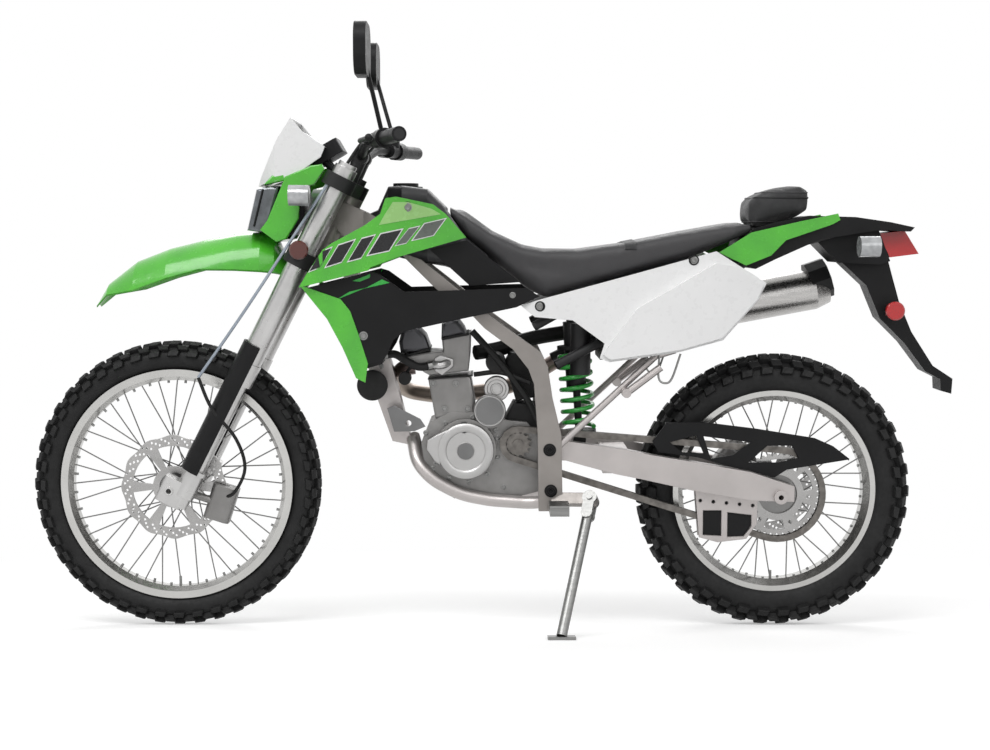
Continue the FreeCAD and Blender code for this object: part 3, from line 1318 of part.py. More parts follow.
def shock(frame, arm):
    top, low = V(SHOCK_TOP_X, 0, SHOCK_TOP_Z), V(SHOCK_LOW_X, 0, SHOCK_LOW_Z)
    way = low - top
    whole = way.Length
    way.normalize()
    eyes = [Part.makeCylinder(SHOCK_EYE_R, 2 * SHOCK_EYE_HALF, p - V(0, SHOCK_EYE_HALF, 0), ACROSS)
            for p in (top, low)]
    body_end = top + way * (whole * 0.55)
    body = rod(top, body_end, SHOCK_R)
    shaft = rod(body_end, low, SHOCK_ROD_R)
    collar_top = top + way * (whole * 0.2)
    upper = rod(collar_top, collar_top + way * SKIN * 2, SHOCK_COLLAR_R)
    seat_low = low - way * (SHOCK_EYE_R + SKIN * 2)
    lower = rod(seat_low, seat_low + way * SKIN * 2, SHOCK_COLLAR_R)
    pot_base = top + V(SHOCK_R * 0.6, -POT_Y, -POT_LONG)
    pot = Part.makeCylinder(POT_R, POT_LONG, pot_base, UP)
    neck = rod(pot_base + V(0, 0, POT_LONG - SHOCK_EYE_R), top - V(0, 0, SHOCK_EYE_R), SHOCK_EYE_R * 0.8)
    struts = fuse(body, shaft, upper, lower, pot, neck, *eyes)
    low_end = collar_top + way * SKIN * 2
    coil_high = (seat_low - low_end).Length - 2 * SPRING_WIRE_R
    helix = Part.makeHelix(coil_high / SPRING_TURNS, coil_high, SPRING_R)
    ring = Part.Wire(Part.makeCircle(SPRING_WIRE_R, V(SPRING_R, 0, 0), ACROSS))
    coil = Part.Wire(helix).makePipeShell([ring], True, True)
    turn = FreeCAD.Rotation(UP, way * -1)
    coil.Placement = FreeCAD.Placement(seat_low - way * SPRING_WIRE_R, turn)
    return struts, coil


def stand_ways():
    """The pivot, the foot, and the unit ways of the deployed and the folded leg."""
    pivot = V(STAND_X, STAND_Y, STAND_Z)
    foot_y = STAND_Y + STAND_REACH_Y
    foot_z = (-FLOOR_DROP - foot_y * math.sin(LEAN)) / math.cos(LEAN)
    foot = V(STAND_X + STAND_REACH_X, foot_y, foot_z)
    out = foot - pivot
    out.normalize()
    fold = V(STAND_FOLD_X, STAND_FOLD_Y, STAND_FOLD_Z)
    fold.normalize()
    return pivot, foot, out, fold


def stand_axis():
    pivot, foot, out, fold = stand_ways()
    axis = out.cross(fold)
    axis.normalize()
    return axis


def side_stand():
    pivot, foot, out, fold = stand_ways()
    axis = stand_axis()
    floor_up = V(0, math.sin(LEAN), math.cos(LEAN))
    leg = rod(pivot + out * STAND_EYE_R, foot + floor_up * PAD_THICK, STAND_R)
    cheeks = []
    for side in (-1, 1):
        start = pivot + axis * (side * (STAND_EYE_HALF + RUN_CLEAR + STAND_CHEEK / 2)) - axis * (STAND_CHEEK / 2)
        cheeks.append(Part.makeCylinder(STAND_EYE_R, STAND_CHEEK, start, axis))
        end = start + out * (STAND_EYE_R * 2.2)
        cheeks.append(Part.makeCylinder(STAND_EYE_R * 0.8, STAND_CHEEK, end, axis))
        cheeks.append(bar_between(start, end, STAND_CHEEK, STAND_EYE_R * 1.5, axis))
    knuckle = rod(pivot + out * (STAND_EYE_R * 1.6) - axis * (STAND_EYE_HALF + RUN_CLEAR),
                  pivot + out * (STAND_EYE_R * 1.6) + axis * (STAND_EYE_HALF + RUN_CLEAR), STAND_R)
    reach = STAND_EYE_HALF + RUN_CLEAR + STAND_CHEEK + SKIN
    bolt = rod(pivot - axis * reach, pivot + axis * reach, STAND_BOLT_R)
    pad = Part.makeBox(PAD_LONG, PAD_WIDE, PAD_THICK, V(-PAD_LONG / 2, -PAD_WIDE / 2, 0))
    pad.rotate(ORIGIN, ALONG, -LEAN_DEG)
    pad.translate(foot)
    eye_room = rod(pivot - axis * (STAND_EYE_HALF + RUN_CLEAR), pivot + axis * (STAND_EYE_HALF + RUN_CLEAR),
                   STAND_EYE_R + RUN_CLEAR)
    return fuse(fuse(leg, knuckle).cut(eye_room), bolt, pad, *cheeks)


def bar_between(start, end, thick, wide, axis):
    """A flat bar from start to end, thick along axis."""
    way = end - start
    side = way.cross(axis)
    side.normalize()
    ring = [start - side * (wide / 2), end - side * (wide / 2), end + side * (wide / 2), start + side * (wide / 2)]
    return Part.Face(Part.makePolygon(ring + ring[:1])).extrude(axis * thick)


def stand_bracket(frame):
    """An arm from the frame's pivot plate to the stand's eye."""
    pivot, foot, out, fold = stand_ways()
    axis = stand_axis()
    eye = rod(pivot - axis * STAND_EYE_HALF, pivot + axis * STAND_EYE_HALF, STAND_EYE_R)
    hole = rod(pivot - axis * OVERRUN, pivot + axis * OVERRUN, STAND_BOLT_R + RUN_CLEAR)
    root = V(CROSS_LOW_X, -SPAR_HALF + SKIN, CROSS_LOW_Z) - pivot
    root = pivot + root - axis * root.dot(axis)
    arm = bar_between(pivot - axis * STAND_EYE_HALF, root - axis * STAND_EYE_HALF, 2 * STAND_EYE_HALF,
                      STAND_BAR_WIDE, axis)
    return fuse(eye, arm).cut(hole)


def foot_pegs(frame):
    made = []
    for side in (-1, 1):
        plate = Part.makeBox(2 * PEG_HALF_X, PEG_LONG, 2 * PEG_HALF_Z, V(-PEG_HALF_X, 0, -PEG_HALF_Z))
        teeth = [Part.makeBox(2 * PEG_HALF_X, PEG_TOOTH_HIGH, PEG_TOOTH_HIGH,
                              V(-PEG_HALF_X, PEG_LONG * (i + 0.5) / PEG_TEETH, PEG_HALF_Z))
                 for i in range(PEG_TEETH)]
        stem = rod(V(0, -PEG_IN_Y + SPAR_HALF - SKIN, 0), V(0, SKIN, 0), PEG_STEM_R)
        peg = fuse(plate, stem, *teeth)
        peg.translate(V(PEG_X - SKIN * 3, PEG_IN_Y, PEG_Z))
        made.append(seated(peg if side > 0 else mirrored(peg), frame))
    return made


# The whole part

def build():
    parts = {}
    bodies = {}

    def add(body, name, *solids):
        flat = [s for one in solids for s in one.Solids]
        parts[name] = flat[0] if len(flat) == 1 else Part.makeCompound(flat)
        bodies[name] = body

    front = (FRONT_X, FRONT_R)
    rear = (REAR_X, REAR_R)
    add("front_wheel", "front_tyre", tyre(*front, FRONT_R, FRONT_CROWN, FRONT_FLANGE_R, FRONT_BEAD_R,
                                          FRONT_WELL_R, FRONT_RIM_HALF))
    add("front_wheel", "front_rim", rim(*front, FRONT_FLANGE_R, FRONT_BEAD_R, FRONT_WELL_R,
                                        FRONT_BARREL_R, FRONT_RIM_HALF))
    disc_face = FRONT_DISC_Y + DISC_THICK / 2
    add("front_wheel", "front_hub", hub(*front, FRONT_FLANGE_Y, FRONT_HUB_HALF,
                                        [(disc_face, disc_face + HUB_FLANGE_HALF * 2, DISC_SEAT_R)],
                                        FRONT_BARREL_R))
    add("front_wheel", "front_disc", seated(brake_disc(*front, FRONT_DISC_Y, FRONT_DISC_R), parts["front_hub"]))

    add("rear_wheel", "rear_tyre", tyre(*rear, REAR_R, REAR_CROWN, REAR_FLANGE_R, REAR_BEAD_R,
                                        REAR_WELL_R, REAR_RIM_HALF))
    add("rear_wheel", "rear_rim", rim(*rear, REAR_FLANGE_R, REAR_BEAD_R, REAR_WELL_R, REAR_BARREL_R,
                                      REAR_RIM_HALF))
    sprocket_face = CHAIN_Y + TOOTH_HALF
    disc_face = REAR_DISC_Y - DISC_THICK / 2
    seats = [(sprocket_face, sprocket_face + HUB_FLANGE_HALF * 3, SPROCKET_WINDOW_R),
             (disc_face, disc_face - HUB_FLANGE_HALF * 3, DISC_SEAT_R)]
    add("rear_wheel", "rear_hub", hub(*rear, REAR_FLANGE_Y, REAR_HUB_HALF, seats, REAR_BARREL_R))
    add("rear_wheel", "rear_disc", seated(brake_disc(*rear, REAR_DISC_Y, REAR_DISC_R), parts["rear_hub"]))
    add("rear_wheel", "rear_sprocket", seated(sprocket(*rear, REAR_TEETH, TOOTH_HALF, SPACER_R, TIP_CLEAR),
                                              parts["rear_hub"]))

    clamps = triple_clamps()
    bar, left_riser, right_riser = handlebar()
    bar_all = fuse(bar, left_riser, right_riser)
    tubes = fork_tubes()
    add("steering", "triple_clamps", clamps)
    add("steering", "fork_tubes", tubes)
    add("steering", "fork_legs", seated(fork_legs(), tubes))
    add("steering", "fork_guards", seated(fork_guards(), parts["fork_legs"], tubes))
    add("steering", "handlebar", seated(bar_all, clamps))
    add("steering", "hand_controls", hand_controls(parts["handlebar"]))
    add("steering", "mirrors", mirrors(parts["handlebar"], parts["hand_controls"]))
    add("steering", "front_fender", seated(front_fender(), clamps))
    mask, lamp, visor = nose_parts()
    arms = []
    for side in (-1, 1):
        root = V(LAMP_BACK_X, side * LENS_HALF * 0.8, (LENS_LOW + LENS_HIGH) / 2)
        arms.append(rod(root - ALONG * BOSS_R, V(CLAMP_ARM_X, side * LEG_Y, root.z), BOSS_R))
    lamp = fuse(lamp, *arms)
    add("steering", "headlight", seated(lamp, clamps, tubes, parts["front_fender"]))
    add("steering", "headlight_mask", seated(mask, tubes, clamps, parts["front_fender"]))
    add("steering", "visor", seated(visor, parts["headlight_mask"]))
    add("steering", "instrument", seated(instrument(), visor, parts["handlebar"], clamps))
    lamps = indicators(FRONT_LAMP_X, FRONT_LAMP_Y, FRONT_LAMP_Z, FRONT_LAMP_X - INDICATOR_R, MASK_BACK_HALF)
    add("steering", "front_indicators", seated(Part.makeCompound(lamps), tubes, parts["headlight_mask"]))
    brake = caliper(*front, FRONT_DISC_Y, FRONT_DISC_R, FRONT_CALIPER_DEG, -1)
    add("steering", "front_caliper", seated(brake, parts["fork_legs"]))

    frame = main_frame()
    frame = fuse(frame, stand_bracket(frame))
    add("chassis", "main_frame", frame)
    cradle = frame_cradle(frame)
    add("chassis", "frame_cradle", cradle)
    add("chassis", "subframe", subframe(frame))
    case = seated(crankcase(), cradle, frame)
    add("chassis", "engine_crankcase", case)
    covers = engine_covers()
    add("chassis", "engine_covers", *[seated(c, cradle, case) for c in covers])
    barrel = seated(engine_barrel(), case)
    add("chassis", "engine_cylinder", barrel)
    top = seated(engine_top(), barrel, frame)
    add("chassis", "engine_head", top)
    add("chassis", "radiators", *radiators(cradle))

    arm = seated(swingarm(), frame)
    add("chassis", "swingarm", arm)
    add("chassis", "chain", chain())
    small = sprocket(COUNTER_X, COUNTER_Z, FRONT_TEETH, TOOTH_HALF, COUNTER_SHAFT_R, -ROLLER_R / 2)
    shaft = rod(V(COUNTER_X, CHAIN_Y - CHAIN_HALF, COUNTER_Z), V(COUNTER_X, -CASE_HALF, COUNTER_Z), COUNTER_SHAFT_R)
    add("chassis", "counter_sprocket", seated(fuse(small, shaft), parts["chain"]))
    struts, coil = shock(frame, arm)
    add("chassis", "shock_body", seated(struts, frame, arm, parts["subframe"]))
    add("chassis", "shock_spring", coil)

    tank = fuel_tank(frame)
    add("chassis", "fuel_tank", tank)
    add("chassis", "fuel_cap", fuel_cap(tank))
    place = (SHROUD_X, SHROUD_Z, SHROUD_LONG, SHROUD_HIGH, SHROUD_BEND, SHROUD_SHARES)
    shroud = fuse(panel(*place), panel_boss(*place, SHROUD_BOSS_SHARE, SHROUD_BOSS_DEEP))
    lip = side_sheet(outline(STRIP_X, STRIP_Z, STRIP_LONG, STRIP_HIGH, STRIP_SHARES),
                     [b + SKIN for b in FAIRING_BEND], SKIN, (FAIRING_X, FAIRING_X + FAIRING_LONG))
    add("chassis", "green_shrouds", *[seated(s, tank, frame) for s in both(shroud) + both(lip)])
    place = (FAIRING_X, FAIRING_Z, FAIRING_LONG, FAIRING_HIGH, FAIRING_BEND, FAIRING_SHARES)
    fairing = fuse(panel(*place), panel_boss(*place, FAIRING_BOSS_SHARE, FAIRING_BOSS_DEEP))
    knee = panel(KNEE_X, KNEE_Z, KNEE_LONG, KNEE_HIGH, KNEE_BEND, KNEE_SHARES)
    carriers = (frame, tank, parts["green_shrouds"], parts["radiators"])
    add("chassis", "black_shrouds", *[seated(s, *carriers) for s in both(fairing) + both(knee)])

    rails = parts["subframe"]
    seat = body_loft(SEAT_X, SEAT_Z, SEAT_LONG, SEAT_HALF, SEAT_HIGH, SEAT_ROUND, SEAT_SHARES)
    add("chassis", "seat", seated(seat, tank_side(), rails, frame))
    can, pipe, room = muffler_parts()
    add("chassis", "muffler", seated(can, rails))
    add("chassis", "exhaust_pipe", seated(pipe, can, top, cradle, frame, rails))
    air = slab(outline(AIR_X, AIR_Z, AIR_LONG, AIR_HIGH, AIR_SHARES), -AIR_HALF, AIR_HALF)
    add("chassis", "airbox", seated(air, rails, parts["seat"], frame))
    place = (COVER_X, COVER_Z, COVER_LONG, COVER_HIGH, COVER_BEND, COVER_SHARES)
    pod = side_sheet(outline(POD_X, POD_Z, POD_LONG, POD_HIGH, POD_SHARES), POD_BEND, POD_DEEP)
    left = fuse(panel(*place), pod, panel_boss(*place, COVER_BOSS_SHARE, COVER_BOSS_DEEP))
    right = mirrored(left).cut(room)
    add("chassis", "side_covers", *[seated(s, parts["seat"], rails, frame, parts["airbox"])
                                    for s in (left, right)])
    tail = panel(TAIL_X, TAIL_Z, TAIL_LONG, TAIL_HIGH, TAIL_BEND, TAIL_SHARES)
    add("chassis", "tail_panels", *[seated(s, parts["side_covers"], parts["seat"], can) for s in both(tail)])
    fin = slab(outline(FIN_X, FIN_Z, FIN_LONG, FIN_HIGH, FIN_SHARES), -FIN_HALF, FIN_HALF)
    box = slab(outline(BOX_X, BOX_Z, BOX_LONG, BOX_HIGH, BOX_SHARES), -BOX_HALF, BOX_HALF)
    holder = slab(outline(ARM_X, ARM_Z, ARM_LONG, ARM_HIGH, ARM_SHARES), -ARM_HALF, ARM_HALF)
    add("chassis", "rear_fender", seated(fuse(fin, box, holder), rails, parts["seat"], parts["tail_panels"], can))
    light = slab(outline(LIGHT_X, LIGHT_Z, LIGHT_LONG, LIGHT_HIGH, LIGHT_SHARES), -LIGHT_HALF, LIGHT_HALF)
    add("chassis", "tail_light", seated(light, parts["rear_fender"]))
    lamps = indicators(REAR_LAMP_X, REAR_LAMP_Y, REAR_LAMP_Z, REAR_LAMP_X, BOX_HALF * 0.8)
    add("chassis", "rear_indicators", seated(Part.makeCompound(lamps), parts["rear_fender"]))
    bag = body_loft(BAG_X, BAG_Z, BAG_LONG, BAG_HALF, BAG_HIGH, BAG_ROUND, BAG_SHARES)
    add("chassis", "tool_bag", seated(bag, parts["seat"], parts["rear_fender"], parts["tail_panels"]))

    add("chassis", "foot_pegs", *foot_pegs(frame))
    brake = caliper(*rear, REAR_DISC_Y, REAR_DISC_R, REAR_CALIPER_DEG, 1)
    add("chassis", "rear_caliper", seated(brake, arm))
    add("side_stand", "side_stand", side_stand())
    return parts, bodies


def leaned(shape):
    placed = shape.copy()
    placed.rotate(ORIGIN, ALONG, LEAN_DEG)
    return placed


def lean_point(point):
    return FreeCAD.Rotation(ALONG, LEAN_DEG).multVec(point)


PARTS, BODIES = build()
LEANED = {name: leaned(shape) for name, shape in PARTS.items()}
BOX = FreeCAD.BoundBox()
for shape in LEANED.values():
    BOX.add(shape.optimalBoundingBox(False))
SHIFT = V(-(BOX.XMin + BOX.XMax) / 2, -(BOX.YMin + BOX.YMax) / 2, FLOOR_DROP)

os.makedirs("parts", exist_ok=True)
for name, shape in LEANED.items():
    shape.translate(SHIFT)
    shape.exportStep("parts/" + name + ".step")
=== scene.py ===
import math
import random

import bmesh
import bpy
from mathutils import Matrix, Vector
from mathutils.bvhtree import BVHTree


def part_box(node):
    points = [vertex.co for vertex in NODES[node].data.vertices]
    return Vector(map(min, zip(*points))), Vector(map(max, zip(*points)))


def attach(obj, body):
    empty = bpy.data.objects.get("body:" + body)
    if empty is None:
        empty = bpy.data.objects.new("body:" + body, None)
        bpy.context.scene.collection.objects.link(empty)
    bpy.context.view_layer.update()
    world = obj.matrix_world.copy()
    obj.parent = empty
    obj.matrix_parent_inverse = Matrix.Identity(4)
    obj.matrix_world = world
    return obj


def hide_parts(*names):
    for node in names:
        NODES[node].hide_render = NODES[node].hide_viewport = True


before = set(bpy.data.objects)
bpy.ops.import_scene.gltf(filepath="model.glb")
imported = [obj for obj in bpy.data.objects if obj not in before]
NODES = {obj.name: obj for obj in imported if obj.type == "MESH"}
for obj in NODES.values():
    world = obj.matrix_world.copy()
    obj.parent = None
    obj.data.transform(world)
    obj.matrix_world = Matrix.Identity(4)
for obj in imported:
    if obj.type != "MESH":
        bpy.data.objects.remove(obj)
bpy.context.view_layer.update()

# Sizes are in millimetres in the bike's own upright frame; BIKE leans them onto the stand, in metres.
# An outline has (x, z) points in the side plane, a turned section (y, radius) points, and the left is -Y.
LEAN = math.radians(8.5)
MM = 0.001
TURN = 2 * math.pi
WHEELBASE = 1430.0
FRONT_R, REAR_R = 345.0, 330.0
FRONT = Vector((-WHEELBASE / 2, 0.0, FRONT_R))
REAR = Vector((WHEELBASE / 2, 0.0, REAR_R))

tyre_low, tyre_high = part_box("front_tyre")
TILT = Matrix.Rotation(LEAN, 3, "X")
SHIFT = (tyre_low + tyre_high) / 2 - TILT @ (FRONT * MM)
BIKE = Matrix.Translation(SHIFT) @ TILT.to_4x4() @ Matrix.Scale(MM, 4)


# Camera: as far from the leaning bike as the photograph's is from the upright one

EYE = Vector((27.4, -3650.0, 945.0))
PITCH, YAW = math.radians(5.3), math.radians(0.3)
SENSOR_WIDE, FOCAL_LENGTH = 36.0, 55.6
FARTHEST = 60.0


def make_camera():
    ahead = Vector((math.sin(YAW), math.cos(YAW) * math.cos(PITCH), -math.sin(PITCH)))
    camera = bpy.data.objects.new("camera", bpy.data.cameras.new("camera"))
    camera.data.sensor_width = SENSOR_WIDE
    camera.data.lens = FOCAL_LENGTH
    camera.data.clip_end = FARTHEST
    camera.location = BIKE @ EYE
    camera.rotation_euler = (TILT @ ahead).to_track_quat("-Z", "Y").to_euler()
    bpy.context.scene.collection.objects.link(camera)
    bpy.context.scene.camera = camera


make_camera()


# Materials

MIX_ONE, MIX_OTHER, MIX_RESULT = 6, 7, 2  # the colour sockets of a Mix node
FINE_TIMES = 5  # how much finer the roughness varies than the colour
COAT_ROUGH = 0.08
GRAIN_DEEP = 0.0006


class Nodes:
    """The node tree of a material or world, with short calls."""

    def __init__(self, owner):
        owner.use_nodes = True
        self.tree = owner.node_tree

    def add(self, kind, **values):
        node = self.tree.nodes.new(kind)
        for key, value in values.items():
            if key in node.inputs:
                node.inputs[key].default_value = value
            else:
                setattr(node, key, value)
        return node

    def link(self, start, end):
        self.tree.links.new(start, end)

    def place(self, scale=(1, 1, 1)):
        """Coordinates fixed in the piece, in metres."""
        coords = self.add("ShaderNodeTexCoord")
        mapping = self.add("ShaderNodeMapping", Scale=scale)
        self.link(coords.outputs["Object"], mapping.inputs["Vector"])
        return mapping.outputs["Vector"]

    def noise(self, where, scale, detail=3.0):
        made = self.add("ShaderNodeTexNoise", Scale=scale, Detail=detail)
        self.link(where, made.inputs["Vector"])
        return made.outputs["Fac"]

    def spread(self, value, low, high, start=0.3, end=0.7):
        made = self.add("ShaderNodeMapRange")
        for key, number in (("From Min", start), ("From Max", end), ("To Min", low), ("To Max", high)):
            made.inputs[key].default_value = number
        self.link(value, made.inputs["Value"])
        return made.outputs["Result"]

    def mix(self, factor, one, other):
        made = self.add("ShaderNodeMix", data_type="RGBA")
        self.link(factor, made.inputs["Factor"])
        for value, socket in ((one, MIX_ONE), (other, MIX_OTHER)):
            if isinstance(value, tuple):
                made.inputs[socket].default_value = (*value, 1)
            else:
                self.link(value, made.inputs[socket])
        return made.outputs[MIX_RESULT]

    def choose(self, factor, one, other):
        made = self.add("ShaderNodeMixShader")
        for start, end in zip((factor, one, other), made.inputs):
            self.link(start, end)
        return made.outputs[0]

    def seen(self):
        """1 for a ray from the camera, off gloss or through glass, and 0 for one that lights."""
        path = self.add("ShaderNodeLightPath")
        found = path.outputs["Is Camera Ray"]
        for kind in ("Is Glossy Ray", "Is Transmission Ray"):
            either = self.add("ShaderNodeMath", operation="MAXIMUM")
            self.link(found, either.inputs[0])
            self.link(path.outputs[kind], either.inputs[1])
            found = either.outputs[0]
        return found


def finish(name, colour, rough, metal=0.0, vary=0.08, vary_scale=14.0, grain=0.0, grain_scale=900.0,
           cells=False, coat=0.0, rough_vary=0.06, stretch=(1, 1, 1), other=None, sheen=0.0,
           specular=0.5, edge=0.0):
    """A procedural finish: colour and roughness that vary slowly, and a fine raised grain."""
    material = bpy.data.materials.new(name)
    made = Nodes(material)
    inputs = made.tree.nodes["Principled BSDF"].inputs
    where = made.place(stretch)
    slow = made.noise(where, vary_scale)
    dark = tuple(c * (1 - vary) for c in (other or colour))
    light = tuple(min(1.0, c * (1 + vary)) for c in colour)
    made.link(made.mix(made.spread(slow, 0, 1), dark, light), inputs["Base Color"])
    fine = made.noise(where, vary_scale * FINE_TIMES, 5.0)
    made.link(made.spread(fine, rough - rough_vary, rough + rough_vary), inputs["Roughness"])
    for key, value in (("Metallic", metal), ("Coat Weight", coat), ("Coat Roughness", COAT_ROUGH),
                       ("Sheen Weight", sheen), ("Specular IOR Level", specular)):
        inputs[key].default_value = value
    if grain:
        if cells:
            pattern = made.add("ShaderNodeTexVoronoi", Scale=grain_scale)
            made.link(where, pattern.inputs["Vector"])
            height = pattern.outputs["Distance"]
        else:
            height = made.noise(where, grain_scale, 2.0)
        bump = made.add("ShaderNodeBump", Strength=grain, Distance=GRAIN_DEEP)
        made.link(height, bump.inputs["Height"])
        if edge:
            soft = made.add("ShaderNodeBevel", Radius=edge, samples=4)
            made.link(soft.outputs["Normal"], bump.inputs["Normal"])
        made.link(bump.outputs["Normal"], inputs["Normal"])
    return material


# Plastics, rubber and cloth
lime = finish("lime_plastic", (0.085, 0.50, 0.028), 0.24, vary=0.05, grain=0.05, grain_scale=500, coat=0.35,
              other=(0.07, 0.44, 0.03), edge=0.0015)
white = finish("white_plastic", (0.84, 0.84, 0.84), 0.3, vary=0.012, grain=0.05, coat=0.25, edge=0.0015)
black = finish("black_plastic", (0.007, 0.007, 0.0075), 0.4, vary=0.2, grain=0.3, cells=True,
               grain_scale=1600, edge=0.0012, specular=0.18)
tank_black = finish("tank_plastic", (0.02, 0.02, 0.022), 0.36, vary=0.15, grain=0.25, cells=True,
                    grain_scale=1500, specular=0.4)
rubber = finish("rubber", (0.010, 0.010, 0.010), 0.55, vary=0.25, grain=0.4, grain_scale=1200,
                specular=0.25)
tread = finish("tyre_rubber", (0.011, 0.011, 0.0112), 0.55, vary=0.35, vary_scale=22, grain=0.5,
               grain_scale=700, rough_vary=0.12, specular=0.25)
vinyl = finish("seat_vinyl", (0.030, 0.029, 0.031), 0.5, vary=0.12, grain=0.55, cells=True, grain_scale=900,
               rough_vary=0.05)
cloth_black = finish("bag_cloth", (0.016, 0.016, 0.017), 0.75, vary=0.2, grain=0.7, grain_scale=1500,
                     sheen=0.3)

# Metals
cast = finish("cast_aluminium", (0.23, 0.225, 0.22), 0.44, metal=0.9, vary=0.12, grain=0.6,
              grain_scale=1100, rough_vary=0.08, edge=0.002)
cover_alloy = finish("cover_alloy", (0.43, 0.425, 0.42), 0.36, metal=0.9, vary=0.05, grain=0.4,
                     grain_scale=1100)
plug_alloy = finish("plug_alloy", (0.17, 0.17, 0.17), 0.4, metal=0.9, vary=0.1, grain=0.4)
cap_grey = finish("cap_grey", (0.075, 0.075, 0.08), 0.4, metal=0.8, vary=0.1, grain=0.5)
satin = finish("satin_aluminium", (0.50, 0.495, 0.49), 0.32, metal=0.95, vary=0.06, grain=0.12,
               grain_scale=1500, edge=0.0015)
polished = finish("polished_rim", (0.50, 0.495, 0.48), 0.22, metal=1.0, vary=0.04, grain=0.06,
                  grain_scale=600, rough_vary=0.05)
steel = finish("brushed_steel", (0.24, 0.24, 0.235), 0.34, metal=1.0, vary=0.1, grain=0.25,
               grain_scale=500, stretch=(1, 1, 12))
can_steel = finish("can_steel", (0.46, 0.45, 0.44), 0.27, metal=1.0, vary=0.08, grain=0.2, grain_scale=400,
                   stretch=(1, 14, 14))
pipe_steel = finish("pipe_steel", (0.30, 0.26, 0.22), 0.36, metal=1.0, vary=0.3, vary_scale=8,
                    other=(0.22, 0.17, 0.16), grain=0.15)
disc_steel = finish("disc_steel", (0.36, 0.355, 0.35), 0.28, metal=1.0, vary=0.1, grain=0.3,
                    grain_scale=1400)
spoke_steel = finish("spoke_steel", (0.20, 0.198, 0.195), 0.32, metal=0.95, vary=0.1, grain=0.2,
                     grain_scale=600)
chain_steel = finish("chain_steel", (0.15, 0.14, 0.13), 0.42, metal=1.0, vary=0.3, vary_scale=60, grain=0.2)

# Paints and films
spar_paint = finish("spar_paint", (0.27, 0.25, 0.235), 0.4, metal=0.6, vary=0.08, grain=0.25,
                    grain_scale=1300, edge=0.002)
arm_paint = finish("arm_paint", (0.46, 0.43, 0.42), 0.36, metal=0.7, vary=0.06, grain=0.15,
                   grain_scale=1300, edge=0.002)
engine_black = finish("engine_black", (0.012, 0.012, 0.0125), 0.46, vary=0.2, grain=0.5, grain_scale=900,
                      specular=0.3)
spring_green = finish("spring_green", (0.04, 0.42, 0.06), 0.3, vary=0.08, grain=0.05, coat=0.3)
line_grey = finish("line_grey", (0.32, 0.36, 0.42), 0.3, metal=0.3)
film_white = finish("film_white", (0.78, 0.78, 0.78), 0.3, vary=0.03)
film_black = finish("film_black", (0.012, 0.012, 0.013), 0.28, vary=0.1, specular=0.4)
film_grey = finish("film_grey", (0.12, 0.135, 0.12), 0.3, vary=0.15)
# a paler lime film laid where gloss lights the top of the shrouds: a painted highlight, not a print
painted_highlight = finish("painted_highlight", (0.33, 0.62, 0.20), 0.26, vary=0.05, coat=0.3)
film_green = finish("film_green", (0.03, 0.36, 0.05), 0.26, vary=0.1)

# Lenses
red_glass = finish("red_lens", (0.52, 0.012, 0.014), 0.14, vary=0.1, grain=0.25, cells=True,
                   grain_scale=220, coat=0.5)
amber_brown = finish("amber_lens", (0.09, 0.014, 0.008), 0.2, vary=0.1, grain=0.4, cells=True,
                     grain_scale=500, coat=0.5)
clear_lens = finish("clear_lens", (0.42, 0.43, 0.44), 0.12, metal=0.2, vary=0.2, vary_scale=60, grain=0.5,
                    cells=True, grain_scale=180, coat=0.8)
lamp_glass = finish("lamp_glass", (0.10, 0.11, 0.12), 0.1, metal=0.5, vary=0.4, vary_scale=40, grain=0.4,
                    cells=True, grain_scale=220, coat=0.8)

LOOKS = {
    "front_tyre": tread, "rear_tyre": tread, "front_rim": polished, "rear_rim": polished,
    "front_hub": spoke_steel, "rear_hub": spoke_steel, "front_disc": disc_steel, "rear_disc": disc_steel,
    "rear_sprocket": disc_steel, "counter_sprocket": chain_steel, "triple_clamps": engine_black,
    "fork_tubes": satin, "fork_legs": satin, "fork_guards": black, "handlebar": engine_black,
    "hand_controls": black, "mirrors": black, "front_fender": lime, "headlight": black,
    "headlight_mask": lime, "visor": white, "instrument": black, "front_indicators": clear_lens,
    "front_caliper": cast, "main_frame": spar_paint, "frame_cradle": arm_paint, "subframe": engine_black,
    "engine_crankcase": cast, "engine_covers": cast, "engine_cylinder": cast, "engine_head": cast,
    "radiators": engine_black, "swingarm": arm_paint, "chain": chain_steel, "shock_body": engine_black,
    "shock_spring": spring_green, "fuel_tank": tank_black, "fuel_cap": black, "green_shrouds": lime,
    "black_shrouds": black, "seat": vinyl, "muffler": can_steel, "exhaust_pipe": pipe_steel,
    "airbox": engine_black, "side_covers": white, "tail_panels": lime, "rear_fender": black,
    "tail_light": red_glass, "rear_indicators": clear_lens, "tool_bag": cloth_black, "foot_pegs": steel,
    "rear_caliper": cast, "side_stand": steel,
}
for name, look in LOOKS.items():
    for place in NODES[name].material_slots:
        place.material = look


# Mesh helpers

CAD_SHARP = 38.0
PIECE_SHARP = 35.0
AXIS_R = 0.02  # a turned solid closes on a ring of this radius at its axis
PLATE_BEVEL, THIN_BEVEL = 0.6, 0.3
LARGE_STEPS, SMALL_STEPS = 40, 10


def smooth(mesh, sharp_degrees=PIECE_SHARP):
    for face in mesh.polygons:
        face.use_smooth = True
    mesh.set_sharp_from_angle(angle=math.radians(sharp_degrees))


for name in ("front_fender", "fuel_tank", "headlight_mask", "muffler", "tail_panels", "rear_fender",
             "visor"):
    smooth(NODES[name].data, CAD_SHARP)


def link_mesh(name, mesh, look, body, node=None):
    """A mesh in the bike's millimetres becomes a piece that rides on a body."""
    mesh.transform(BIKE)
    mesh.update()
    piece = bpy.data.objects.new(name, mesh)
    bpy.context.scene.collection.objects.link(piece)
    mesh.materials.clear()
    mesh.materials.append(look)
    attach(piece, body)
    if node:
        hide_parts(node)
    return piece


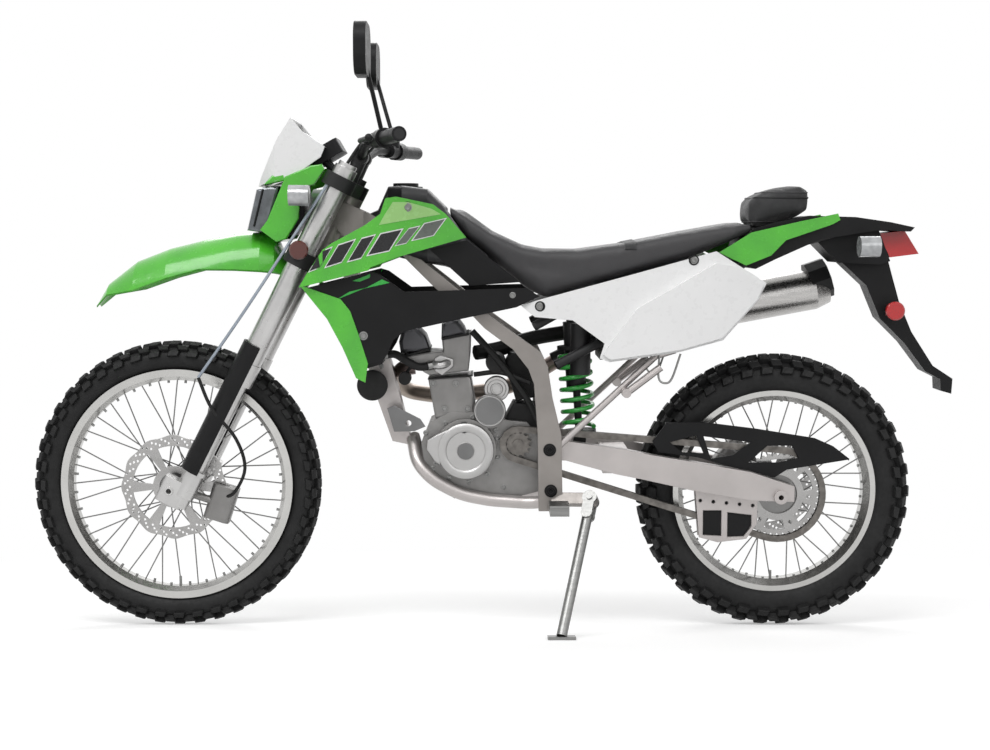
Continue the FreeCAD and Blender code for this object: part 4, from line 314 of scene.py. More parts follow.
def new_mesh(name, vertices, faces):
    mesh = bpy.data.meshes.new(name)
    mesh.from_pydata(vertices, [], faces)
    mesh.update()
    return mesh


def evaluated(holder):
    graph = bpy.context.evaluated_depsgraph_get()
    return bpy.data.meshes.new_from_object(holder.evaluated_get(graph))


def evaluated_curve(curve):
    holder = bpy.data.objects.new("holder", curve)
    bpy.context.scene.collection.objects.link(holder)
    mesh = evaluated(holder)
    bpy.data.objects.remove(holder)
    return mesh


def spun_vertices(section, centre, steps):
    """Rings of a section's points about a wheel's axle, and their faces as a closed torus."""
    vertices, faces = [], []
    count = len(section)
    for i in range(steps):
        for y, r in section:
            x, z = on_circle(centre.x, centre.z, r, TURN * i / steps)
            vertices.append((x, y, z))
    for i in range(steps):
        for k in range(count):
            a, b = i * count + k, i * count + (k + 1) % count
            c, d = (i + 1) % steps * count + (k + 1) % count, (i + 1) % steps * count + k
            faces.append((a, d, c, b))
    return vertices, faces


def turned(x, z, section, steps=32):
    """A solid turned about a line across the bike, from its section out of the axis and back to it."""
    closed = [(section[0][0], AXIS_R)] + list(section) + [(section[-1][0], AXIS_R)]
    vertices, faces = spun_vertices(closed, Vector((x, 0, z)), steps)
    return new_mesh("turned", vertices, faces)


def plate(outlines, y_low, y_high, bevel=PLATE_BEVEL):
    """A plate in the side plane; outlines after the first are its holes."""
    curve = bpy.data.curves.new("plate", "CURVE")
    curve.dimensions = "2D"
    curve.fill_mode = "BOTH"
    curve.extrude = (y_high - y_low) / 2 - bevel
    curve.bevel_depth = bevel
    curve.bevel_resolution = 1
    curve.offset = -bevel
    for points in outlines:
        line = curve.splines.new("POLY")
        line.points.add(len(points) - 1)
        for spot, (x, z) in zip(line.points, points):
            spot.co = (x, z, 0, 1)
        line.use_cyclic_u = True
    mesh = evaluated_curve(curve)
    mesh.transform(Matrix.Translation((0, (y_low + y_high) / 2, 0)) @ Matrix.Rotation(math.pi / 2, 4, "X"))
    return mesh


def across(outline, half, bevel):
    """A plate as far to the right as to the left."""
    return plate([outline], -half, half, bevel)


def eased(points, steps=6):
    """A smooth curve through the points, as a line of short steps."""
    spots = [Vector(p) for p in points]
    spots = [2 * spots[0] - spots[1]] + spots + [2 * spots[-1] - spots[-2]]
    line = []
    for a, b, c, d in zip(spots, spots[1:], spots[2:], spots[3:]):
        for i in range(steps):
            t = i / steps
            line.append(0.5 * (2 * b + (c - a) * t + (2 * a - 5 * b + 4 * c - d) * t * t
                               + (3 * b - a - 3 * c + d) * t ** 3))
    return line + [spots[-2]]


def pipe(radius, points, ease=True):
    curve = bpy.data.curves.new("pipe", "CURVE")
    curve.dimensions = "3D"
    curve.bevel_depth = radius
    curve.bevel_resolution = 3
    curve.use_fill_caps = True
    line = curve.splines.new("POLY")
    path = eased(points) if ease and len(points) > 2 else [Vector(p) for p in points]
    line.points.add(len(path) - 1)
    for spot, place in zip(line.points, path):
        spot.co = (*place, 1)
    return evaluated_curve(curve)


def joined(name, meshes, look, body, mirror=False, node=None):
    """One piece from several meshes, doubled on the right side where the bike is alike."""
    whole = bmesh.new()
    for mesh in meshes:
        whole.from_mesh(mesh)
    bmesh.ops.recalc_face_normals(whole, faces=whole.faces)
    if mirror:
        copied = bmesh.ops.duplicate(whole, geom=whole.verts[:] + whole.edges[:] + whole.faces[:])["geom"]
        for part in copied:
            if isinstance(part, bmesh.types.BMVert):
                part.co.y = -part.co.y
        bmesh.ops.reverse_faces(whole, faces=[f for f in copied if isinstance(f, bmesh.types.BMFace)])
    mesh = bpy.data.meshes.new(name)
    whole.to_mesh(mesh)
    whole.free()
    smooth(mesh)
    return link_mesh(name, mesh, look, body, node)


# Outline helpers

def on_circle(x, z, radius, turn):
    return x + radius * math.cos(turn), z + radius * math.sin(turn)


def circle(x, z, radius, steps=20):
    return [on_circle(x, z, radius, TURN * i / steps) for i in range(steps)]


def sector(x, z, r_low, r_high, start, end, steps=6):
    turns = [start + (end - start) * i / steps for i in range(steps + 1)]
    return ([on_circle(x, z, r_high, t) for t in turns]
            + [on_circle(x, z, r_low, t) for t in reversed(turns)])


def shrunk(outline, share):
    cx = sum(x for x, z in outline) / len(outline)
    cz = sum(z for x, z in outline) / len(outline)
    return [(cx + (x - cx) * share, cz + (z - cz) * share) for x, z in outline]


def of_sizes(shares, x, z, long, high):
    """Points given in shares of a piece's length and height, from its lower front corner."""
    return [(x + long * a, z + high * b) for a, b in shares]


def of_steps(pairs, x, z, step):
    """Points given in steps to the rear and down from a corner."""
    return [(x + step * a, z - step * b) for a, b in pairs]


# What lies on the left skin

RAY_FROM = -500
PANEL_Y = -150.0  # where a film or bolt goes if its ray meets no panel
FILM_THICK = 0.5
FILM_STRIP = 10
BOLT_FORM = ((0.4, 0.28), (0.45, 0.34), (1, 0.4), (1, 0.62), (0.75, 0.7), (0.35, 0.74), (0.25, 1))
BOLT_SUNK = 1.5
BOLT_STEPS = 24


def tree_of(*names):
    """What a ray from the side meets: the named nodes in the bike's own frame."""
    whole = bmesh.new()
    for name in names:
        mesh = NODES[name].data.copy()
        mesh.transform(BIKE.inverted() @ NODES[name].matrix_world)
        whole.from_mesh(mesh)
    made = BVHTree.FromBMesh(whole)
    whole.free()
    return made


def skin_y(tree, x, z, fallback):
    hit = tree.ray_cast(Vector((x, RAY_FROM, z)), Vector((0, 1, 0)))
    return hit[0].y if hit[0] else fallback


def decal(tree, outline, lift):
    """A film on the left panels, cut into strips so that it follows them."""
    mesh = across(outline, FILM_THICK / 2, 0.0)
    film = bmesh.new()
    film.from_mesh(mesh)
    xs = [x for x, z in outline]
    x = min(xs) + FILM_STRIP
    while x < max(xs):
        bmesh.ops.bisect_plane(film, geom=film.verts[:] + film.edges[:] + film.faces[:], plane_co=(x, 0, 0),
                               plane_no=(1, 0, 0))
        x += FILM_STRIP
    bmesh.ops.triangulate(film, faces=film.faces[:])
    for v in film.verts:
        v.co.y += skin_y(tree, v.co.x, v.co.z, PANEL_Y) - lift
    film.to_mesh(mesh)
    film.free()
    return mesh


def bolt(tree, x, z, radius, fallback=PANEL_Y, high=4.0):
    """A flanged head with a socket, seated on the skin."""
    y = skin_y(tree, x, z, fallback)
    return turned(x, z, [(y - high * a, radius * b) for a, b in BOLT_FORM] + [(y + BOLT_SUNK, radius)],
                  BOLT_STEPS)


# Tyres: a carcass with knobs

ROOT_WIDE, TOP_WIDE = 1.12, 0.86  # shares of a block's size at its root and at its top
ROOT_DEEP = 2.0
BEAD_DEEP = 6.0
CARCASS_STEPS, CARCASS_HALF = 180, 16
NUDGE = 0.0012
KNOB_EDGE = 0.0011
KNOB_SHARP, KNOB_BEVELLED = 30.0, 50.0
KNOB_FACES = ((3, 2, 1, 0), (4, 5, 6, 7), (0, 1, 5, 4), (1, 2, 6, 5), (2, 3, 7, 6), (3, 0, 4, 7))


def knob(centre, tyre_radius, crown, turn, roll, wide, long, deep, lift, skew):
    """One block on the tread: turn is its place round the wheel, roll its place across the crown."""
    corners = []
    middle = tyre_radius - crown
    for height, share in ((lift - deep, ROOT_WIDE), (lift, TOP_WIDE)):
        for a, b in ((-1, -1), (1, -1), (1, 1), (-1, 1)):
            over = roll + a * wide / 2 * share / crown
            along = turn + (b * long / 2 * share + skew * a) / tyre_radius
            r = middle + (crown + height) * math.cos(over)
            x, z = on_circle(centre.x, centre.z, r, along)
            corners.append((x, (crown + height) * math.sin(over), z))
    return corners


def make_tyre(name, body, node, centre, tyre_radius, crown, flange, half, lug, count, rows):
    """rows has the blocks' roll, offset, wide, long, skew and lift, from the middle row outwards."""
    deep = crown - lug
    start = math.acos((tyre_radius - crown - flange) / -deep)
    section = []
    for i in range(2 * CARCASS_HALF + 1):
        roll = start * (i / CARCASS_HALF - 1)
        section.append((deep * math.sin(roll), tyre_radius - crown + deep * math.cos(roll)))
    section += [(half, flange - BEAD_DEEP), (-half, flange - BEAD_DEEP)]
    vertices, faces = spun_vertices(section, centre, CARCASS_STEPS)
    rng = random.Random(7)
    for roll, offset, wide, long, skew, lift in rows:
        for i in range(count):
            turn = TURN * (i + offset) / count
            for side in ((1, -1) if roll else (1,)):
                nudge = 0.0 if side > 0 else math.pi / count
                base = len(vertices)
                vertices += knob(centre, tyre_radius, crown, turn + nudge + rng.uniform(-NUDGE, NUDGE),
                                 side * roll, wide, long, lug + ROOT_DEEP, lift, side * skew)
                faces += [[base + k for k in corners] for corners in KNOB_FACES]
    mesh = new_mesh(name, vertices, faces)
    smooth(mesh, KNOB_SHARP)
    piece = link_mesh(name, mesh, tread, body, node)
    edges = piece.modifiers.new("edges", "BEVEL")
    edges.width = KNOB_EDGE
    edges.segments = 1
    edges.limit_method = "ANGLE"
    edges.angle_limit = math.radians(KNOB_BEVELLED)


make_tyre("front_knobby", "front_wheel", "front_tyre", FRONT, FRONT_R, crown=42.0, flange=277.0, half=24.0,
          lug=11.0, count=44, rows=[
              (0.0, 0.0, 22.0, 24.0, 0.0, 0.0),
              (0.42, 0.5, 15.0, 26.0, 3.0, 0.0),
              (0.84, 0.05, 14.0, 27.0, -2.0, 0.5),
              (1.22, 0.52, 15.0, 30.0, 2.0, -1.0)])
make_tyre("rear_knobby", "rear_wheel", "rear_tyre", REAR, REAR_R, crown=60.0, flange=247.0, half=32.0,
          lug=14.0, count=38, rows=[
              (0.0, 0.0, 30.0, 24.0, 0.0, 0.0),
              (0.42, 0.5, 22.0, 27.0, 4.0, 0.0),
              (0.80, 0.04, 20.0, 29.0, -3.0, 0.0),
              (1.14, 0.5, 19.0, 33.0, 2.0, -1.5)])


# Soft pieces: the CAD solid is copied, remeshed, swelled as cloth and smoothed

CLOTH_FRAMES = 20
CLOTH_PRESSURE = 4.0
RELAX_SHARE, RELAX_ROUNDS = 0.5, 6


def softened(name, node, look, body, voxel, cap, inset):
    """The soft piece that stands for a node; voxel, cap and inset are in metres."""
    mesh = NODES[node].data.copy()
    piece = bpy.data.objects.new(name, mesh)
    bpy.context.scene.collection.objects.link(piece)
    mesh.materials.clear()
    mesh.materials.append(look)
    bpy.context.view_layer.objects.active = piece
    remesh = piece.modifiers.new("remesh", "REMESH")
    remesh.mode = "VOXEL"
    remesh.voxel_size = voxel
    even = evaluated(piece)
    piece.modifiers.clear()
    piece.data = even
    even.update()
    normals = [v.normal.copy() for v in even.vertices]
    for vertex, normal in zip(even.vertices, normals):
        vertex.co -= normal * inset
    rest = [v.co.copy() for v in even.vertices]
    settle(piece, rest, cap)
    relax = piece.modifiers.new("relax", "SMOOTH")
    relax.factor = RELAX_SHARE
    relax.iterations = RELAX_ROUNDS
    rounded = piece.modifiers.new("rounded", "SUBSURF")
    rounded.levels = 1
    rounded.render_levels = 1
    final = evaluated(piece)
    piece.modifiers.clear()
    piece.data = final
    for face in final.polygons:
        face.use_smooth = True
    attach(piece, body)
    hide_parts(node)
    return piece


def settle(piece, rest, cap):
    """Some frames of cloth under pressure; no point goes further than the cap."""
    scene = bpy.context.scene
    cloth = piece.modifiers.new("cloth", "CLOTH")
    cloth.settings.use_pressure = True
    cloth.settings.uniform_pressure_force = CLOTH_PRESSURE
    cloth.settings.effector_weights.gravity = 0.0
    cloth.point_cache.frame_start = 1
    cloth.point_cache.frame_end = CLOTH_FRAMES
    for step in range(CLOTH_FRAMES):
        scene.frame_set(step + 1)
    swelled = evaluated(piece)
    for vertex, start in zip(swelled.vertices, rest):
        move = vertex.co - start
        if move.length > cap:
            vertex.co = start + move * (cap / move.length)
    piece.modifiers.clear()
    piece.data = swelled
    scene.frame_set(1)


saddle = softened("saddle", "seat", vinyl, "chassis", voxel=0.006, cap=0.005,
                  inset=0.003)
pouch = softened("tool_pouch", "tool_bag", cloth_black, "chassis", voxel=0.004, cap=0.005,
                 inset=0.003)


# Wheels: rotors with cooling holes, the open sprocket, nipples and valves

ROTOR_BORE, ROTOR_HUB, ROTOR_TRACK, ROTOR_THICK = 34.0, 50.0, 27, 4
PETALS, PETAL_STEPS, PETAL_DEEP = 12, 8, 2.5
ARMS, WINDOW_START, WINDOW_END = 6, 0.13, 0.87
HOLE_ROWS = ((20.0, 0.0), (14.0, 0.33), (8.5, 0.66))  # depth in from the edge, and offset in holes
HOLES, HOLE_R = 30, 2.9
TEETH, TOOTH = 42, (99.0, 97.5, 92.0, 97.5)
SPROCKET_BORE, SPROCKET_WINDOW, SPROCKET_Y = 46, (62, 84), (-77, -71)
SPROCKET_STARTS = range(0, 360, 60)  # degrees, as are the turns from each start
WINDOW_TURNS, BOLT_TURN = (8, 42), 55
BOLT_RING, BOLT_HOLE = 73, 5
SPOKES = 36
NIPPLE_LONG, NIPPLE_R, NIPPLE_LEAN, NIPPLE_SUNK = 15, 3.1, 1.4, 1
VALVE_OUT, VALVE_LONG, VALVE_R = 30, 34, 3.4
CAP_FORM = [(-88, 5), (-88, 7), (-92, 8), (-92, 13), (-84, 15), (-70, 15)]
FRONT_DISC, REAR_DISC = (-57, 125), (70, 120)  # y and radius
FRONT_LACING, REAR_LACING = (258, 4), (229, 5)  # the rim well's radius, and the spokes' place beside it


def rotor(centre, y, radius):
    x, z = centre.x, centre.z
    steps = PETALS * PETAL_STEPS
    loops = [[on_circle(x, z, radius - PETAL_DEEP + PETAL_DEEP * math.cos(TURN * i / PETAL_STEPS),
                        TURN * i / steps) for i in range(steps)], circle(x, z, ROTOR_BORE, LARGE_STEPS)]
    turn = TURN / ARMS
    loops += [sector(x, z, ROTOR_HUB, radius - ROTOR_TRACK, turn * (i + WINDOW_START),
                     turn * (i + WINDOW_END)) for i in range(ARMS)]
    for depth, offset in HOLE_ROWS:
        loops += [circle(*on_circle(x, z, radius - depth, TURN * (i + offset) / HOLES), HOLE_R,
                         SMALL_STEPS) for i in range(HOLES)]
    return plate(loops, y - ROTOR_THICK / 2, y + ROTOR_THICK / 2, THIN_BEVEL)


def sprocket():
    loops = [[on_circle(REAR.x, REAR.z, TOOTH[i % 4], TURN * i / (TEETH * 4)) for i in range(TEETH * 4)],
             circle(REAR.x, REAR.z, SPROCKET_BORE, LARGE_STEPS)]
    loops += [sector(REAR.x, REAR.z, *SPROCKET_WINDOW, *(math.radians(a + turn) for turn in WINDOW_TURNS))
              for a in SPROCKET_STARTS]
    loops += [circle(*on_circle(REAR.x, REAR.z, BOLT_RING, math.radians(a + BOLT_TURN)), BOLT_HOLE,
                     SMALL_STEPS) for a in SPROCKET_STARTS]
    return plate(loops, *SPROCKET_Y)


def nipples(centre, radius, wide):
    """Nipples on the rim's well, wide to each side by turns, and the valve."""
    made = []
    for i in range(SPOKES):
        turn = TURN * (i + 0.5) / SPOKES
        out = Vector((math.cos(turn), 0, math.sin(turn)))
        side = wide if i % 2 else -wide
        start = centre + out * (radius - NIPPLE_LONG) + Vector((0, side * NIPPLE_LEAN, 0))
        end = centre + out * (radius + NIPPLE_SUNK) + Vector((0, side, 0))
        made.append(pipe(NIPPLE_R, [start, end]))
    valve = centre + Vector((0, 0, -radius + VALVE_OUT))
    made.append(pipe(VALVE_R, [valve, valve - Vector((0, 0, VALVE_LONG))]))
    return made


joined("front_rotor", [rotor(FRONT, *FRONT_DISC)], disc_steel, "front_wheel", node="front_disc")
joined("rear_rotor", [rotor(REAR, *REAR_DISC)], disc_steel, "rear_wheel", node="rear_disc")
joined("driven_sprocket", [sprocket()], disc_steel, "rear_wheel", node="rear_sprocket")
joined("front_nipples", nipples(FRONT, *FRONT_LACING), steel, "front_wheel")
joined("rear_nipples", nipples(REAR, *REAR_LACING), steel, "rear_wheel")
joined("axle_caps", [turned(FRONT.x, FRONT.z, CAP_FORM)], steel, "steering")


# Drive side: the black cover over the chain with its windows, the plated guide under it

COVER_SIZES = (416, 372, 464, 129)
COVER = of_sizes([(0.069, 1), (0.267, 1), (0.528, 0.884), (0.823, 0.713), (0.916, 0.566), (1, 0.333),
                  (0.685, 0.147), (0.621, 0), (0.399, 0.202), (0.231, 0.372), (0.032, 0.465), (0, 0.667)],
                 *COVER_SIZES)
COVER_HOLES = [of_sizes(window, *COVER_SIZES) for window in (
    [(0.088, 0.651), (0.222, 0.775), (0.259, 0.45), (0.155, 0.465)],
    [(0.259, 0.76), (0.498, 0.651), (0.412, 0.419), (0.297, 0.349)],
    [(0.489, 0.279), (0.584, 0.589), (0.707, 0.589), (0.741, 0.364), (0.64, 0.279)])]
COVER_Y, LIP_Y, ROOF_Y = (-90, -86), -86.5, (-88, -66)
COVER_BEVEL, LIP_R, ROOF_THICK = 0.8, 2.0, 3
ROOF_LINE = COVER[:6]
GUIDE_SIZES = (518, 218, 148, 112)
GUIDE = of_sizes([(0, 1.13), (1, 1), (0.986, 0.393), (0.824, 0.071), (0.365, 0), (0.068, 0.107)],
                 *GUIDE_SIZES)
GUIDE_HOLES = [of_sizes(window, *GUIDE_SIZES) for window in (
    [(0.13, 0.16), (0.13, 0.68), (0.42, 0.68), (0.42, 0.14)],
    [(0.52, 0.12), (0.52, 0.64), (0.9, 0.58), (0.9, 0.34), (0.78, 0.13)])]
GUIDE_HOLES += [circle(x, z, 4, SMALL_STEPS) for x, z in ((530, 318), (561, 315), (592, 312), (623, 309),
                                                          (654, 306))]
GUIDE_Y, GUIDE_THICK = (-92, -64), 4
BLOCK_Y, BLOCK_THICK, BLOCK_SHARE, BLOCK_BEVEL = (-87.5, -67.5), 3, 0.86, 0.4

roof = [plate([[a, b, (b[0], b[1] - ROOF_THICK), (a[0], a[1] - ROOF_THICK)]], *ROOF_Y, THIN_BEVEL)
        for a, b in zip(ROOF_LINE, ROOF_LINE[1:])]
joined("chain_cover", [plate([COVER] + COVER_HOLES, *COVER_Y, COVER_BEVEL),
                       pipe(LIP_R, [(x, LIP_Y, z) for x, z in ROOF_LINE], False)] + roof,
       black, "chassis")
joined("guide_plates", [plate([GUIDE] + GUIDE_HOLES, y, y + GUIDE_THICK) for y in GUIDE_Y],
       arm_paint, "chassis")
joined("guide_block", [plate([shrunk(GUIDE, BLOCK_SHARE)], y, y + BLOCK_THICK, BLOCK_BEVEL) for y in BLOCK_Y],
       black, "chassis")


# Engine: head and cylinder, turned covers, cam caps, hoses and bolts

MAGNETO, IDLER = (-22.5, 436), (33.7, 530)
TURNED_COVERS = [  # place, section and steps of the magneto's cover, the idler's and a round cap
    (*MAGNETO, [(-99, 20), (-97, 21), (-97, 45), (-99.5, 47), (-101, 52), (-101, 60), (-98, 65),
                (-84, 67)], 64),
    (*IDLER, [(-94, 32), (-96, 33.5), (-96, 35.5), (-93, 37), (-80, 38)], 48),
    (50, 580, [(-70, 10), (-74, 11), (-74, 13), (-70, 15), (-70, 21), (-74, 23), (-74, 28), (-70, 30),
               (-50, 30)], 40)]
TURNED_PLUGS = [  # the magneto's plug, a small plug and the idler's face
    (*MAGNETO, [(-100, 4), (-100, 19), (-97, 20.5), (-90, 20.5)], 40),
    (-26, 490, [(-97, 12), (-94, 14), (-80, 14)], 24),
    (*IDLER, [(-94.6, 31.6), (-90, 31.8)], 48)]
CASE_LOBE = ([[(-92, 474), (-66, 486), (-48, 480), (-70, 446), (-82, 402), (-96, 412), (-114, 440),
               (-112, 462)]], -95, -80, 3)
WATER_ELBOW = (10, [(-98, -72, 637), (-80, -80, 637), (-64, -66, 642)])
WATER_PLATE = ([[(-96, 652), (-82, 660), (-52, 650), (-52, 634), (-78, 612), (-94, 622)]], -72, -58, 2)
HANGER = ([[(-208, 533), (-192, 540), (-130, 508), (-118, 490), (-144, 479), (-192, 478)],
           circle(-158, 498, 7, 14)], -66, -60, 1)
CAM_CAPS = [  # outline, half width and bevel of the front and rear one
    ([(-176, 664), (-180, 690), (-174, 716), (-158, 726), (-136, 722), (-118, 704), (-108, 676),
      (-112, 668)], 64, 9),
    ([(-80, 700), (-79, 733), (-62, 743), (-40, 741), (-26, 722), (-20, 706)], 66, 9)]
SEAMS = [  # under both caps and between head and cylinder
    ([(-182, 655), (-108, 676), (-106, 671), (-180, 650)], 68, 1),
    ([(-80, 700), (-16, 712), (-15, 707), (-79, 695)], 70, 1),
    ([(-112, 604), (-6, 612), (-6, 609), (-112, 601)], 63, 0.6)]
HOSES = [  # radius and line of the water hose, the breather, the inlet boot, a lower hose and the plug's lead
    (9.5, [(-208, -78, 661), (-186, -80, 662), (-158, -82, 645), (-132, -80, 633), (-98, -72, 636)]),
    (8, [(-8, -60, 716), (60, -66, 640), (118, -74, 562), (150, -80, 500)]),
    (18, [(0, 0, 660), (60, 30, 668), (140, 78, 690), (296, 78, 715)]),
    (6, [(-3, -45, 612), (60, -60, 618), (130, -80, 596)]),
    (4, [(-170, -52, 606), (-150, -50, 640), (-168, -60, 672)])]
TURNED_BLACK = [  # the horn, the plug's cap and the inlet
    (-241, 590, [(-92, 8), (-92, 30), (-88, 36), (-80, 36), (-74, 30), (-66, 14), (-50, 12)], 40),
    (-166, 604, [(-72, 8), (-72, 15), (-40, 15)], 20),
    (48, 640, [(-66, 14), (-66, 22), (-30, 24), (20, 24)], 28)]
THROTTLE = ([[(70, 640), (84, 664), (150, 660), (176, 620), (160, 560), (96, 548)]], -40, 50, 6)
STARTER = ([[(60, 440), (150, 470), (158, 540), (90, 545), (66, 500)]], -46, 40, 6)
CLIPS = [(10.6, [(-212, -78, 661), (-204, -78, 661)]), (10.8, [(-112, -76, 634), (-102, -73, 636)])]
BARREL_BOLT = [(-62, 4), (-64, 5), (-64, 7), (-56, 7)]
BARREL_BOLTS = [(-100, 592), (-73, 532), (-46, 592), (-19, 532)]
BARREL_BOLT_STEPS = 12
CASE_RING = (20, 78, 128, 165, 205, 240, 275, 310, 345)  # degrees round the magneto's cover
CASE_RING_R = 78
CASE_BOLTS = [(-117, 475), (48, 482), (-194, 528), (-183, 490), (-100, 389), (-12, 365), (67, 345),
              (-224, 630)]
PIVOTS = ((173, 444), (176, 348))
CASE_BOLT, PIVOT_BOLT = (6.5, -70, 5), (15, -133, 7)  # radius, y where a ray meets nothing, and height
HEAD = ([(-121, 618), (-108, 611), (-16, 622), (-12, 659), (-10, 712), (-79, 698), (-76, 666), (-104, 668),
         (-178, 655), (-176, 640), (-140, 634)], 62, 5)
BARREL = ([(-112, 604), (-12, 612), (0, 545), (-3, 512), (-95, 508)], 59, 7)

joined("case_covers", [turned(*cover) for cover in TURNED_COVERS]
       + [plate(*CASE_LOBE), pipe(*WATER_ELBOW), plate(*WATER_PLATE)],
       cover_alloy, "chassis")
joined("case_plugs", [turned(*plug) for plug in TURNED_PLUGS] + [plate(*HANGER)], plug_alloy, "chassis")
joined("cam_caps", [across(*cap) for cap in CAM_CAPS], cap_grey, "chassis")
joined("engine_hoses", [across(*seam) for seam in SEAMS] + [pipe(*hose) for hose in HOSES]
       + [turned(*part) for part in TURNED_BLACK] + [plate(*THROTTLE), plate(*STARTER)],
       rubber, "chassis")
joined("hose_clips", [pipe(*clip) for clip in CLIPS]
       + [turned(x, z, BARREL_BOLT, BARREL_BOLT_STEPS) for x, z in BARREL_BOLTS],
       steel, "chassis")
case_tree = tree_of("engine_crankcase", "engine_covers", "main_frame", "frame_cradle", "engine_cylinder",
                    "engine_head")
ring = [on_circle(*MAGNETO, CASE_RING_R, math.radians(a)) for a in CASE_RING]
joined("case_bolts", [bolt(case_tree, x, z, *CASE_BOLT) for x, z in ring + CASE_BOLTS],
       steel, "chassis")
joined("pivot_bolts", [bolt(case_tree, x, z, *PIVOT_BOLT) for x, z in PIVOTS], black, "chassis",
       mirror=True)


# Panels: film graphics without lettering, a paler green film that is a painted highlight, and bolts in their
# cups

SKETCH = (-490.1, 1070.4, 0.4359)  # the corner and step of the points below
BARS = [((262, 492), (330, 380), 62, 24), ((345, 470), (420, 346), 92, 30),
        ((462, 440), (540, 312), 74, 20), ((562, 408), (636, 288), 120, 26),
        ((708, 356), (782, 262), 60, 14), ((792, 330), (860, 236), 118, 28)]
# the outline of the paler green patch on the top of the shrouds, a painted highlight where gloss lights them
HIGHLIGHT_OUTLINE = [(628, 246), (660, 190), (700, 128), (780, 128), (900, 162), (948, 190)]
STRIPES = [[(402, 634), (470, 592), (680, 546), (640, 528), (560, 570)],
           [(486, 536), (560, 508), (598, 490), (574, 520), (524, 540)]]
FACE_SHARE = 0.88
FILM_LIFT, FACE_LIFT, CUP_LIFT = 0.6, 1.1, 0.5
PANEL_BOLTS = ((-152, 1003, 10), (-254, 712, 10), (86, 804, 7), (149, 778, 9), (500, 884, 9))
BOLT_CUPS = ((-152, 1003, 13), (149, 778, 12), (500, 884, 12))


def bar(low, high, wide, rise):
    """A slanted bar between two edges of the sketch, its ends rising to the rear."""
    return of_steps([low, high, (high[0] + wide, high[1] - rise), (low[0] + wide, low[1] - rise)], *SKETCH)


def film(name, outlines, lift, look, slot_name):
    joined(name, [decal(panel_tree, outline, lift) for outline in outlines], look, "chassis",
           mirror=True)


panel_tree = tree_of("green_shrouds", "black_shrouds", "side_covers", "tail_panels", "fuel_tank")
bars = [bar(*b) for b in BARS]
faces = [shrunk(b, FACE_SHARE) for b in bars]
# the paler green patch is a painted highlight of the gloss on the shrouds, not a print
film("painted_highlight", [of_steps(HIGHLIGHT_OUTLINE, *SKETCH)], FILM_LIFT, painted_highlight, "green_plastic")
film("film_edges", bars, FILM_LIFT, film_white, "white_plastic")
film("film_facets", faces[:4], FACE_LIFT, film_black, "black_plastic")
film("film_tail", faces[4:], FACE_LIFT, film_grey, "black_plastic")
film("film_stripes", [of_steps(stripe, *SKETCH) for stripe in STRIPES], FILM_LIFT, film_green,
     "green_plastic")
joined("panel_bolts", [bolt(panel_tree, x, z, r) for x, z, r in PANEL_BOLTS], steel, "chassis",
       mirror=True)
film("bolt_cups", [circle(x, z, r) for x, z, r in BOLT_CUPS], CUP_LIFT, black, "black_plastic")


# Rear: peg stays with folded pegs and a hook, reflectors, strap, the bag's trim and the muffler's ring

PEG_STAYS = [(8, [(188, -124, 446), (300, -124, 551), (418, -124, 662), (463, -124, 676)], False),
             (9, [(349, -143, 578), (428, -143, 638)]), (11, [(349, -118, 578), (349, -152, 578)])]
HOOK = (2.5, [(425, -135, 664), (424, -135, 612), (440, -135, 600), (455, -135, 612), (474, -135, 668)])
REFLEX_BAR = (5, [(985, -66, 764), (985, 66, 764)])
REFLEX = [(0, 4), (-1, 18), (-1, 19), (2, 22), (12, 22)]
REAR_REFLEX, FORK_REFLEX = (985, 764), (-403, 906)
REAR_REFLEX_Y, FORK_REFLEX_Y = 76, 146
STRAP_X, STRAP_Z, STRAP_WIDE, STRAP_THICK, STRAP_SUNK = 358, 905, 26, 4.0, 1.0
OVER_SEAT, ROUND_BAG = (2, 178, 60), (95, 455, 90)  # start and end in degrees, and count
BAG_X, PIPING_Z, PIPING_R, ZIP_Z, ZIP_R = 690, (1040, 972), 1.7, 1028, 2.3
TRIM_LIFT, RAY_OUT = 0.2, 400
CAN_LOW, CAN_HIGH = Vector((822, 133, 822)), Vector((868, 133, 838))
CAN_RING_R, CAN_BORE_R, CAN_BORE_LONG = 50, 34, 2


def ring_on(piece, centre, one, other, start, end, count, lift):
    """Points on a soft piece that rays from all round meet, in the bike's frame; None where one misses."""
    mesh = piece.data.copy()
    mesh.transform(BIKE.inverted() @ piece.matrix_world)
    whole = bmesh.new()
    whole.from_mesh(mesh)
    tree = BVHTree.FromBMesh(whole)
    whole.free()
    centre, one, other = Vector(centre), Vector(one), Vector(other)
    points = []
    for i in range(count + 1):
        turn = math.radians(start + (end - start) * i / count)
        out = one * math.cos(turn) + other * math.sin(turn)
        hit = tree.ray_cast(centre + out * RAY_OUT, -out)
        met = hit[0] and (hit[0] - centre).dot(out) > 0
        points.append(hit[0] + out * lift if met else None)
    return points


def round_bag(radius, height):
    met = ring_on(pouch, (BAG_X, 0, height), (1, 0, 0), (0, 1, 0), *ROUND_BAG, TRIM_LIFT)
    return pipe(radius, [p for p in met if p], False)


